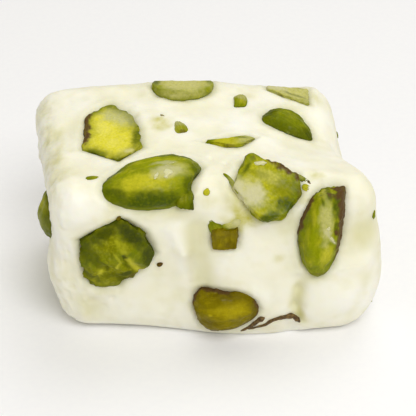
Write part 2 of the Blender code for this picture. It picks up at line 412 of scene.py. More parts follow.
@dataclass(frozen=True)
class NougatFinish:
    """Whipped sugar, honey and egg white, cut with a knife: a dense white foam.

    Light sinks a few millimetres into it, so shadows are soft and warm, and its cut skin has a faint satin
    gloss that handling has dulled in places. Oil and colour from the kernels tint it beside them. Painted
    shade darkens it where it dips and where it meets a kernel. Sizes are in millimetres.
    """

    cream: str = "FAF8EC"
    shade: str = "F5F2DC"
    # painted shade in dips, creases and scraped grooves; on the crumbs of nougat a plain tint
    hollow: str = "D6D29A"
    # painted shade where the nougat meets a kernel, with the kernel's colour showing through
    seam_shade_and_tint: str = "C6C494"
    stain: str = "C2BC40"
    roughness: float = 0.46
    ior: float = 1.45
    glow: float = 0.3
    glow_depth: float = 1.8  # how far light spreads inside
    glow_colours: tuple[float, float, float] = (1.0, 0.85, 0.5)
    cloud_size: float = 7.0  # pale and deep patches
    mottle_size: float = 1.6  # gaps in the stains
    dent_size: float = 1.9  # soft dents of the cut skin
    tooth_size: float = 0.45  # the foam's fine tooth, drawn coarser than it is so that it shows

    def make(self) -> bpy.types.Material:
        """Builds the material."""
        material, tree = new_material("nougat_whipped_cut")
        place = add_node(tree, "ShaderNodeTexCoord").outputs["Object"]
        marks = {mark: add_node(tree, "ShaderNodeAttribute", attribute_name=mark).outputs["Fac"]
                 for mark in ("stain", "seam_shade_and_tint", "hollow")}
        clouds, mottle, dents, tooth = (
            add_node(tree, "ShaderNodeTexNoise",
                     {"Vector": place, "Scale": 1 / (size * MM), "Detail": detail}).outputs["Fac"]
            for size, detail in ((self.cloud_size, 3.0), (self.mottle_size, 4.0), (self.dent_size, 2.0),
                                 (self.tooth_size, 3.0))
        )
        ranges = ((clouds, 0.35, 0.7), (mottle, 0.3, 0.65, 0.4, 1.0),
                  (dents, 0.3, 0.7, self.roughness - 0.06, self.roughness + 0.1))
        clouded, patchy, rough = (add_node(tree, "ShaderNodeMapRange", dict(enumerate(row))).outputs[0]
                                  for row in ranges)
        # Over the cream: random clouds, painted shade in dips and creases, painted shade where a kernel meets
        # it with the kernel's colour showing through, and stains.
        colour = lay_coats(tree, self.cream, (
            (self.shade, clouded),
            (self.hollow, marks["hollow"]),
            (self.seam_shade_and_tint, marks["seam_shade_and_tint"], patchy),
            (self.stain, marks["stain"], patchy),
        ))
        fine = add_node(tree, "ShaderNodeBump", {"Height": tooth, "Strength": 0.16, "Distance": 0.05 * MM})
        broad = add_node(tree, "ShaderNodeBump", {"Height": dents, "Strength": 0.4, "Distance": 0.2 * MM,
                                                  "Normal": fine.outputs[0]})
        dress(tree, {"Base Color": colour, "Roughness": rough, "Normal": broad.outputs[0], "IOR": self.ior,
                     "Subsurface Weight": self.glow, "Subsurface Radius": self.glow_colours,
                     "Subsurface Scale": self.glow_depth * MM})
        return material


@dataclass(frozen=True)
class KernelFinish:
    """A pistachio kernel: waxy green cotyledons in a papery brown skin, yellower inside where it is cut.

    Sugar syrup leaves the outside slightly glossy. The cut flesh is duller and finely grained. Sizes are in
    millimetres.
    """

    name: str
    slot: str
    deep: str  # the darkest green; in folds, dark cracks and along the rim it is painted shade
    main: str  # the outer flesh
    light: str  # where the outer flesh is worn or thin, and painted highlight where it faces the light
    inside: str  # under the outer flesh, where it is cut or broken
    flesh: str  # raw flesh in a fresh split
    dull: str  # bruised or dusted with sugar
    skin: str = "5A4322"  # scraps of papery skin
    film: str = "CECAA4"  # nougat smeared over it; some small patches of it are painted glints
    gloss: float = 0.42
    ior: float = 1.47
    glow: float = 0.15
    glow_depth: float = 0.6
    glow_colours: tuple[float, float, float] = (0.8, 0.8, 0.1)
    blotches: float = 0.35  # how strong the dark patches on the outer flesh are
    syrup: float = 0.16  # how glossy the patches of dried syrup are
    streak_size: float = 0.8  # width of the lengthwise streaks
    streak_stretch: float = 4.0  # how much longer than wide they are
    blotch_size: float = 2.8
    speck_size: float = 0.45
    grain_size: float = 0.3

    def make(self) -> bpy.types.Material:
        """Builds the material."""
        material, tree = new_material(self.name)
        names = [tone.value for tone in Tone] + ["under_skin", "rim", "lengthways"]
        marks = {mark: add_node(tree, "ShaderNodeAttribute", attribute_name=mark).outputs for mark in names}
        light, dull, deep, flesh, brown, film, under, rim = (
            marks[mark]["Fac"]
            for mark in ("light", "dull", "deep", "flesh", "brown", "film", "under_skin", "rim")
        )
        along = marks["lengthways"]["Vector"]
        stretch = (1 / self.streak_stretch, 1, 1)
        drawn = add_node(tree, "ShaderNodeMapping", {"Vector": along, "Scale": stretch}).outputs[0]
        patterns = ((drawn, self.streak_size, 5.0, 0.65), (along, self.blotch_size, 3.0, 0.5),
                    (along, self.speck_size, 3.0, 0.5), (along, self.grain_size, 2.0, 0.5))
        streaks, blotch, speck, grains = (
            add_node(tree, "ShaderNodeTexNoise",
                     {"Vector": place, "Scale": 1 / size, "Detail": detail, "Roughness": fine}).outputs["Fac"]
            for place, size, detail, fine in patterns
        )
        wave = add_node(tree, "ShaderNodeMapRange", {0: streaks, 1: 0.3, 2: 0.7, 3: -0.4, 4: 0.4}).outputs[0]
        wavy = add_node(tree, "ShaderNodeMath", {0: under, 1: wave}, operation="ADD").outputs[0]
        ranges = {
            "peeled": (wavy, 0.5, 1.5),
            "patchy": (speck, 0.3, 0.55, 0.7, 1.0),
            "worn": (streaks, 0.46, 0.7, 0.0, 0.5),
            "blotched": (blotch, 0.48, 0.68, 0.0, self.blotches),
            "specked": (speck, 0.4, 0.66, 0.0, 0.5),
            "green": (blotch, 0.52, 0.7, 0.0, 0.5),
            "scuffed": (streaks, 0.3, 0.5, 0.7, 1.0),
            "grainy": (grains, 0.3, 0.7, 0.93, 1.07),
            "smeared": (blotch, 0.3, 0.6, 1.0, 0.85),
            "sticky": (blotch, 0.42, 0.55, 0.0, self.syrup),
            "beaded": (speck, 0.35, 0.5),
            "rough": (under, 0.3, 1.2, self.gloss, self.gloss + 0.2),
        }
        levels = {name: add_node(tree, "ShaderNodeMapRange", dict(enumerate(row))).outputs[0]
                  for name, row in ranges.items()}
        outer = lay_coats(tree, self.main, ((self.light, levels["worn"]), (self.deep, levels["blotched"])))
        inner = lay_coats(tree, self.inside, ((self.light, levels["specked"]), (self.main, levels["green"])))
        colour = lay_coats(tree, outer, (
            (inner, levels["peeled"]),
            (self.light, light, levels["patchy"]),
            (self.dull, dull, levels["patchy"]),
            (self.deep, deep, levels["patchy"]),
            # painted shade along the outline
            (self.deep, rim),
            (self.flesh, flesh),
            (self.skin, brown, levels["scuffed"]),
        ))
        shaded = add_node(tree, "ShaderNodeHueSaturation", {"Color": colour, "Value": levels["grainy"]})
        veiled = lay_coats(tree, shaded.outputs[0], ((self.film, film, levels["smeared"]),))
        syrup = add_node(tree, "ShaderNodeMath", {0: levels["sticky"], 1: levels["beaded"]},
                         operation="MULTIPLY")
        furrows = add_node(tree, "ShaderNodeBump", {"Height": streaks, "Strength": 0.6, "Distance": 0.2 * MM})
        pores = add_node(tree, "ShaderNodeBump", {"Height": speck, "Strength": 0.5, "Distance": 0.08 * MM,
                                                  "Normal": furrows.outputs[0]})
        dress(tree, {"Base Color": veiled, "Roughness": levels["rough"], "Normal": pores.outputs[0],
                     "Coat Weight": syrup.outputs[0], "Coat Roughness": 0.2, "IOR": self.ior,
                     "Specular IOR Level": 0.05, "Subsurface Weight": self.glow,
                     "Subsurface Radius": self.glow_colours, "Subsurface Scale": self.glow_depth * MM})
        return material


class Tone(Enum):
    """What a patch on a kernel looks like. The value is the name of the mark that its finish reads."""

    # LIGHT and DEEP patches are partly the kernel's own tones and partly painted highlight and painted shade
    # on its lit and turned-away sides; small LIGHT and FILM patches are painted glints.
    DEEP = "deep"
    LIGHT = "light"
    DULL = "dull"
    FLESH = "flesh"
    BROWN = "brown"
    FILM = "film"


class Nut(Enum):
    """The ways a kernel looks in this nougat."""

    FLESH = KernelFinish("pistachio_cut_flesh", "kernel_flesh", deep="5C6604", main="9EA018", light="E8E068",
                         inside="DCD438", flesh="EAE47A", dull="C6C484")
    GREEN = KernelFinish("pistachio_green_skin", "kernel_green", deep="3E4600", main="727C00", light="A8A81E",
                         inside="7A7C00", flesh="C4C034", dull="929450")
    BRIGHT = KernelFinish("pistachio_bright_skin", "kernel_green", deep="465400", main="8A9200",
                          light="CBC42C", inside="A2A20C", flesh="D8D24A", dull="CAC67C", blotches=0.3)
    OLIVE = KernelFinish("pistachio_olive_skin", "kernel_olive", deep="584A00", main="7E7200", light="B4A412",
                         inside="867A02", flesh="BAAE38", dull="948A50")


# ---------------------------------------------------------------------------------------------------
# Kernels
# ---------------------------------------------------------------------------------------------------


SLICE_PROUD = 0.2  # how far a kernel that the knife cut stands over the nougat
SLICE_UNDER = -0.15
TIP_TAPER = 0.22  # how much slimmer a kernel's pointed half is than its blunt half
CUT_HARDNESS = 34.0  # how crisp the edge of a cut is: a high power keeps it within a fraction of a millimetre
CLOSE = 54  # rows on a kernel that is seen large


@dataclass(frozen=True)
class Wash:
    """A soft-edged patch of one tone on a kernel, an ellipse measured on its face from its centre."""

    tone: Tone
    u: float
    v: float
    along: float
    across: float
    angle: float = 0.0
    strength: float = 0.8


def patches(**rows: tuple) -> tuple[Wash, ...]:
    """Washes from rows of their numbers, given under the name of their tone."""
    return tuple(Wash(Tone(tone), *row) for tone, group in rows.items() for row in group)


@dataclass(frozen=True)
class Skin:
    """An arc of papery skin left along a kernel's outline, its bearing and half width in degrees."""

    bearing: float
    half: float
    width: float = 0.6


@dataclass(frozen=True)
class Crack:
    """A split in a kernel's upper side, between two places on its face, and the tone that shows in it."""

    start: tuple[float, float]
    end: tuple[float, float]
    width: float = 0.3
    # a deep tone here is painted shade in the split
    tone: Tone = Tone.FLESH


@dataclass(frozen=True)
class Kernel:
    """One pistachio kernel: where it sits on a face, its size, how it lies, how it was cut, how it looks.

    heading turns its long axis from the face's u axis, nose lifts its pointed end, and roll turns it about
    its length. sink is how far its centre lies under the surface. A kernel that the knife went through has
    proud, the height of the slice above the surface. Each chop is (bearing, rise, reach): the direction of
    a broken side from the long axis, its tilt towards the surface, and its distance from the centre. ragged
    says how much rougher its outline is than usual, rim how wide its dark outline of painted shade is,
    shadow how strong the painted shade gets as it turns down to the nougat, and facets how deep its broken
    plates are, in mm.
    """

    name: str
    face: Face
    u: float
    v: float
    length: float
    width: float
    thickness: float
    heading: float
    sink: float
    nut: Nut = Nut.GREEN
    proud: float | None = None
    nose: float = 0.0
    roll: float = 0.0
    bend: float = 0.0
    taper: float = TIP_TAPER
    chops: tuple = ()
    skins: tuple[Skin, ...] = ()
    washes: tuple[Wash, ...] = ()
    cracks: tuple[Crack, ...] = ()
    rim: float = 0.45
    rows: int = 30
    ragged: float = 1.0
    shadow: float = 0.5
    facets: float = 0.0


KERNELS = (
    # Top face, from the left end to the right.
    Kernel(
        "pistachio_top_yellow", Face.TOP, -14.5, 0.2, 17.0, 12.0, 8.0, 84, 0.8, Nut.FLESH, SLICE_PROUD,
        chops=((90, 0, 4.3), (155, 0, 5.7), (228, 0, 6.0), (283, 0, 4.3), (317, 0, 5.6), (37, 0, 7.0)),
        skins=(Skin(163, 54, 0.75),), rim=0.35, shadow=0.55, rows=CLOSE,
        washes=patches(
            film=((2.6, -5.0, 0.8, 0.5, 20, 0.5),),
            light=((2.0, -4.8, 1.5, 1.0, 20, 0.9), (-1.2, 1.4, 1.6, 2.0, 0, 0.7),
                   (0.4, -2.6, 1.2, 1.2, 0, 0.5)),
            dull=((1.8, 4.2, 4.0, 2.5, -24, 0.95),),
            deep=((-2.4, -5.0, 2.2, 0.9, -28), (4.0, -1.2, 0.9, 3.0, -8, 0.9),
                  (1.8, 6.6, 3.4, 0.4, -14, 0.5)),
        ),
    ),
    Kernel(
        "pistachio_top_back", Face.TOP, -0.1, 12.8, 9.6, 9.8, 7.0, 88, 0.6, Nut.BRIGHT, SLICE_PROUD,
        chops=((0, 0, 3.3), (0, 30, 2.0), (0, 58, 1.0)), rim=0.1, shadow=0.08, rows=CLOSE,
        washes=patches(
            light=((0.6, -2.8, 3.2, 0.6, 8, 0.6), (1.4, 0.6, 2.0, 0.4, -12, 0.5)),
            dull=((0.2, -1.2, 4.8, 5.0, 0, 1.0),),
            deep=((-4.3, 0.6, 0.8, 2.6), (4.4, 0.8, 0.5, 2.4, 0, 0.6), (-1.2, 1.8, 1.8, 0.35, -14, 0.5),
                  (1.8, 2.4, 1.4, 0.3, 10, 0.5)),
        ),
    ),
    Kernel(
        "pistachio_top_flake", Face.TOP, 4.8, -3.0, 8.6, 3.0, 3.2, 4, 0.5, Nut.BRIGHT, SLICE_PROUD,
        chops=((96, 0, 0.8), (250, 0, 1.15), (301, 0, 1.8)), ragged=3.2, rim=0.05, shadow=0.1, rows=CLOSE,
        washes=patches(
            light=((-0.6, -0.2, 2.4, 1.2),),
            dull=((2.4, 0.2, 1.8, 1.2, 0, 0.7),),
            deep=((1.6, 0.7, 1.2, 0.25, -8, 0.6), (-3.4, 0.2, 1.0, 0.5, 0, 0.4)),
            brown=((-0.8, -1.3, 1.4, 0.25, 0, 0.5),),
        ),
    ),
    Kernel(
        "pistachio_top_dark", Face.TOP, 16.2, 2.7, 9.4, 6.2, 5.4, -25, 1.2, Nut.GREEN, bend=0.4, ragged=1.6,
        rim=0.2, shadow=0.45, rows=CLOSE,
        washes=patches(
            light=((1.7, 2.2, 3.4, 0.4, -30, 0.9),),
            deep=((-3.4, 1.4, 1.2, 1.6, 0, 0.6), (2.8, -1.6, 1.2, 0.8, -35, 0.7)),
        ),
    ),
    Kernel(
        "pistachio_top_corner", Face.TOP, 19.1, 11.4, 8.4, 6.0, 6.0, -28, 0.6, Nut.BRIGHT, SLICE_PROUD,
        chops=((116, 0, 2.4), (116, 35, 1.4), (270, 0, 1.6), (28, 0, 2.7)), ragged=2.0, rim=0.0, shadow=0.12,
        rows=CLOSE,
        washes=patches(
            film=((-3.4, 1.8, 2.8, 1.6, -25, 0.95),),
            dull=((0.0, 0.6, 6.0, 3.4, -25, 1.0),),
            deep=((0.2, -0.9, 2.2, 0.3, -28, 0.5), (0.6, 1.2, 1.6, 0.25, -25, 0.4)),
        ),
    ),
    # The rounded edge between the top and the front.
    Kernel(
        "pistachio_edge_large", Face.TOP, -9.9, -12.3, 16.4, 8.8, 6.6, 192, 1.0, Nut.BRIGHT, roll=-6,
        chops=((142, 0, 5.9),), skins=(Skin(84, 34, 0.3),), rim=0.4, rows=CLOSE,
        washes=patches(
            film=((1.9, -0.5, 2.4, 1.3, 10, 0.6), (2.0, 1.3, 2.2, 0.4, 10, 0.5)),
            light=((-1.4, -2.1, 4.8, 1.6, 4, 0.75),),
            dull=((3.6, 0.0, 2.6, 1.5, 0, 0.5),),
            deep=((2.6, 3.4, 5.6, 0.7, 4), (-6.4, 1.2, 2.6, 1.2, 36), (-0.4, -4.5, 7.2, 1.3, 0, 1.0),
                  (5.6, -2.0, 1.0, 1.5, -30, 0.7), (6.6, 0.6, 0.7, 1.6, 10, 0.6),
                  (-5.6, -3.0, 2.4, 0.8, -24)),
        ),
    ),
    Kernel(
        "pistachio_edge_veiled", Face.TOP, 8.3, -14.9, 12.8, 11.0, 6.4, -50, 0.8, Nut.BRIGHT, 0.5,
        chops=((200, 10, 5.2), (112, 0, 3.8), (60, 0, 4.6), (8, 0, 4.5), (-30, 0, 4.9), (-92, 0, 4.4)),
        skins=(Skin(76, 52, 1.1), Skin(20, 16, 0.6)), rim=0.1, shadow=0.22, rows=CLOSE,
        washes=patches(
            film=((-2.7, -1.2, 2.2, 2.1, 0, 0.85), (-5.0, -1.4, 1.7, 3.2, 0, 0.85)),
            light=((-2.4, -4.0, 2.0, 0.9, 0, 0.6),),
            dull=((-3.6, -0.8, 2.4, 3.0, 0, 0.85), (0.0, 1.4, 2.6, 1.2, -24, 0.35)),
            deep=((2.6, -0.6, 2.8, 2.0, -20, 0.5), (-1.6, 2.0, 2.0, 0.6, -20, 0.3),
                  (-3.3, 3.1, 1.9, 0.5, 55, 0.9), (1.3, -2.6, 0.5, 0.6, 0, 1.0),
                  (2.6, -3.0, 2.2, 1.5, -20, 1.0), (-0.6, -4.9, 2.1, 0.8, 20, 0.9)),
            brown=((4.4, -1.2, 0.4, 1.4, 0, 0.4),),
        ),
    ),
    # Front face.
    Kernel(
        "pistachio_front_tall", Face.FRONT, 17.05, 8.1, 19.0, 6.6, 6.6, 83, 1.0, Nut.BRIGHT, nose=-6,
        bend=0.3, taper=0.12, chops=((0, 0, 5.7), (50, 0, 4.5)),
        skins=(Skin(8, 78, 1.35), Skin(162, 58, 0.45)), rim=0.2, shadow=0.35, rows=CLOSE,
        washes=patches(
            # the long, slanted film patch is a painted glint
            film=((0.2, -0.2, 0.9, 0.5, -40, 0.5), (1.0, -1.6, 1.5, 0.3, -55, 0.7)),
            light=((0.4, -4.2, 1.0, 2.2, -8, 0.6), (-0.8, 6.2, 0.8, 1.6, 0, 0.7),
                   (-1.9, 2.6, 0.4, 2.4, 4, 0.5)),
            dull=((0.0, 1.6, 1.2, 4.2, 0, 0.75),),
            deep=((1.5, 4.0, 0.8, 2.3, 0, 0.9), (1.6, 0.2, 0.4, 1.4), (-0.6, 4.6, 0.3, 0.8, 20, 0.7),
                  (0.4, 5.4, 0.4, 0.6, 20, 0.7)),
            brown=((-0.6, -8.4, 1.6, 0.5, 0, 0.4),),
        ),
    ),
    Kernel(
        "pistachio_front_broken", Face.FRONT, -16.6, 2.4, 19.6, 15.4, 7.4, 72, 0.9, Nut.GREEN, facets=0.6,
        ragged=1.4, rim=0.4, shadow=0.3, rows=CLOSE,
        chops=((52, 0, 6.2), (116, 0, 5.3), (157, 0, 7.0), (205, 0, 6.7), (252, 0, 4.1), (310, 0, 5.9),
               (336, 0, 6.5), (0, -40, 5.6), (40, 74, 2.9), (200, 74, 2.7)),
        cracks=(
            Crack((1.2, 1.7), (1.9, 0.2), 0.34, Tone.DEEP), Crack((2.1, 0.9), (3.5, -1.8), 0.55),
            Crack((2.9, -0.4), (3.4, -1.5), 0.85, Tone.LIGHT),
            Crack((0.2, 4.2), (1.2, 2.4), 0.55, Tone.LIGHT), Crack((-0.3, 1.9), (0.8, 0.3), 0.2, Tone.LIGHT),
            Crack((0.7, 0.2), (0.0, -0.9), 0.24), Crack((-2.2, -0.7), (-2.6, -3.0), 0.6, Tone.LIGHT),
            Crack((-2.5, -1.8), (-2.7, -2.8), 0.3), Crack((-2.9, -3.4), (-3.8, -4.8), 0.5, Tone.LIGHT),
        ),
        washes=patches(
            light=((0.6, 3.2, 0.5, 1.6, 30, 0.35), (-2.4, -5.2, 1.6, 0.6, 10, 0.5)),
            deep=((2.4, 5.2, 4.2, 1.4, -42, 1.0), (-1.8, 5.2, 3.0, 1.2, 32, 0.9),
                  (4.9, 1.6, 1.3, 2.6, 12, 0.95), (-4.6, 2.4, 1.1, 2.2, 0, 0.7),
                  (1.6, 0.9, 0.4, 0.7, 30, 1.0), (1.4, -2.6, 1.6, 0.7, 30, 0.9),
                  (-0.9, -3.2, 1.6, 0.9, 0, 0.55)),
            brown=((2.2, -3.3, 1.3, 0.3, 40, 0.6),),
        ),
    ),
    Kernel(
        "pistachio_front_small", Face.FRONT, 1.1, 6.2, 6.4, 5.8, 4.6, 92, 0.7, Nut.OLIVE, 0.9,
        chops=((0, 0, 1.5), (92, 0, 2.0), (180, 0, 2.0), (270, 0, 1.9)), ragged=1.6, rim=0.25, shadow=0.4,
        washes=patches(light=((-0.6, 0.9, 0.8, 0.5, 0, 0.4),), deep=((0.9, -1.0, 0.9, 1.0, 0, 0.6),)),
    ),
    Kernel(
        "pistachio_front_low", Face.FRONT, 1.5, -8.2, 10.8, 8.4, 7.2, 3, 1.0, Nut.OLIVE,
        chops=((90, 10, 3.4), (196, 0, 4.8), (20, 0, 4.9)), skins=(Skin(124, 52, 0.4), Skin(-60, 90, 0.4)),
        rows=CLOSE,
        washes=patches(
            # the two small light patches are painted glints
            light=((1.4, 1.2, 3.0, 1.4, 0, 0.65), (1.7, 0.9, 0.5, 0.4), (-2.2, 0.4, 0.4, 0.3)),
            deep=((-2.0, -1.6, 2.4, 1.2, 0, 0.5), (1.4, -3.2, 3.4, 0.9, 0, 0.6)),
        ),
    ),
    # Left end.
    Kernel(
        "pistachio_left_proud", Face.LEFT, 7.6, 5.6, 10.0, 6.4, 5.4, 80, 0.5, Nut.GREEN, ragged=1.6,
        washes=patches(light=((0.0, 2.2, 3.0, 1.6),), dull=((1.0, -1.0, 2.0, 2.0, 0, 0.6),)),
    ),
    Kernel(
        "pistachio_left_sliced", Face.LEFT, -6.4, 0.5, 12.6, 8.4, 7.0, 24, 0.9, Nut.FLESH, 0.0,
        skins=(Skin(200, 60),), ragged=1.9, washes=patches(dull=((2.0, 2.0, 3.4, 1.4, 24, 0.7),)),
    ),
    Kernel(
        "pistachio_left_low", Face.LEFT, 3.2, -8.0, 9.2, 6.2, 5.6, -12, 1.0, Nut.GREEN, 0.0, ragged=1.9,
        washes=patches(film=((1.8, 1.2, 1.4, 0.7, 20, 0.6),), light=((-1.0, -0.6, 2.4, 1.2, -12, 0.7),)),
    ),
    # Right end.
    Kernel(
        "pistachio_right_sliced", Face.RIGHT, -3.4, 4.2, 14.0, 8.8, 7.4, 48, 0.9, Nut.FLESH, SLICE_PROUD,
        skins=(Skin(30, 60, 0.8),), ragged=1.7, rim=0.7,
        washes=patches(dull=((1.0, 2.0, 3.0, 1.2, 40, 0.6),)),
    ),
    Kernel(
        "pistachio_right_round", Face.RIGHT, 7.8, -4.6, 10.0, 8.2, 7.0, 8, 1.4, Nut.OLIVE,
        skins=(Skin(-60, 60, 0.6),), ragged=1.7,
        washes=patches(light=((0.0, 1.0, 3.0, 1.4, 0, 0.6),), deep=((-2.2, -1.2, 1.6, 1.2, 0, 0.6),)),
    ),
    Kernel(
        "pistachio_right_low", Face.RIGHT, -6.4, -7.6, 9.4, 6.0, 5.4, -32, 1.2, Nut.GREEN, ragged=1.8,
        washes=patches(film=((1.6, -0.6, 1.2, 0.6, 10, 0.6),), light=((-0.8, 0.2, 2.4, 1.0, -32, 0.7),)),
    ),
    # Back face.
    Kernel(
        "pistachio_back_whole", Face.BACK, -14.6, -1.0, 15.6, 8.8, 7.2, 34, 1.3, Nut.BRIGHT, bend=0.5,
        skins=(Skin(120, 50, 0.7),), ragged=1.6, rows=CLOSE,
        washes=patches(
            film=((-2.4, -0.8, 1.8, 0.8, 50, 0.6),),
            light=((0.0, 0.4, 5.0, 1.1, 34, 0.7),),
            deep=((2.0, -2.4, 4.5, 0.9, 34),),
        ),
    ),
    Kernel(
        "pistachio_back_sliced", Face.BACK, 1.6, -3.4, 14.2, 9.2, 8.0, 12, 0.8, Nut.FLESH, SLICE_PROUD,
        skins=(Skin(90, 60, 0.7),), ragged=1.9, rim=0.6,
        washes=patches(dull=((-3.4, 1.2, 2.2, 1.6, 0, 0.7),), deep=((2.0, -2.4, 2.6, 0.7, 10, 0.6),)),
    ),
    Kernel(
        "pistachio_back_tall", Face.BACK, 15.4, 5.2, 11.6, 8.0, 7.0, 78, 1.0, Nut.OLIVE, SLICE_PROUD,
        ragged=1.8,
        washes=patches(light=((0.4, 1.6, 2.0, 2.4, 0, 0.6),), deep=((-1.4, -2.0, 1.2, 1.8, 0, 0.6),)),
    ),
    Kernel(
        "pistachio_back_slim", Face.BACK, 16.0, -8.0, 12.6, 7.0, 6.4, -12, 1.5, Nut.GREEN, ragged=1.8,
        washes=patches(light=((-1.4, 0.4, 3.2, 1.1, -12, 0.7),), dull=((2.6, 0.0, 1.6, 1.0, 0, 0.6),)),
    ),
    Kernel(
        "pistachio_back_chip", Face.BACK, -5.0, 6.2, 7.4, 5.4, 5.0, 60, 0.8, Nut.GREEN, 0.6,
        chops=((0, 0, 2.6), (120, 0, 2.3)), ragged=1.6,
        washes=patches(light=((0.0, 0.0, 1.8, 1.2, 60, 0.7),)),
    ),
    # Underside.
    Kernel(
        "pistachio_under_left", Face.UNDER, -14.0, 3.2, 14.4, 8.6, 7.2, 22, 0.9, Nut.FLESH, SLICE_UNDER,
        skins=(Skin(150, 60),), rim=0.7,
    ),
    Kernel(
        "pistachio_under_middle", Face.UNDER, 4.2, -3.6, 12.4, 8.2, 7.2, 104, 1.0, Nut.GREEN, SLICE_UNDER,
    ),
    Kernel(
        "pistachio_under_right", Face.UNDER, 15.0, 3.2, 11.0, 7.6, 6.8, -34, 0.9, Nut.FLESH, SLICE_UNDER,
        rim=0.7,
    ),
)


@dataclass(frozen=True)
class KernelRelief:
    """How uneven a kernel is, in millimetres where a comment says nothing else."""

    outline: tuple[Grain, ...] = (Grain(3.2, 0.045, 2, 0), Grain(1.2, 0.02, 2, 9))  # shares of its radius
    breaks: tuple[Grain, ...] = (Grain(2.6, 0.07, 2, 5), Grain(0.9, 0.015, 1, 6))  # shares of a side's reach
    skin_depth: float = 0.3  # how far under the skin a surface looks raw
    fold_count: int = 9  # lengthways folds of the dried skin
    fold_height: float = 0.06
    fold_wander: Grain = Grain(2.6, 2.5, 1, 1)  # in radians
    fold_stretch: tuple[float, float, float] = (0.3, 1, 1)
    wrinkles: Grain = Grain(1.3, 0.11, 3, 2)
    wrinkle_stretch: tuple[float, float, float] = (0.4, 1, 1)
    torn: Grain = Grain(1.8, 0.26, 3, 3)  # broken flesh
    crevices: Grain = Grain(1.0, 0.2, 2, 8)
    sawn: Grain = Grain(1.1, 0.07, 3, 4)  # flesh that the knife cut
    chips: Grain = Grain(1.7, 1.0, 2, 10)
    chip_depth: float = 0.12
    crack_wander: Grain = Grain(1.4, 0.2, 2, 11)
    crack_depths: tuple[float, float] = (0.15, 0.45)  # of a pale crack and of a dark one
    crack_strength: float = 0.85
    plates: Grain = Grain(3.0, 1.0, 2, 20)  # broken plates, which overlap at a slant
    plate_stretch: tuple[float, float, float] = (1.0, 0.6, 0.3)
    plate_slant: float = 0.4
    plate_middle: float = 0.25


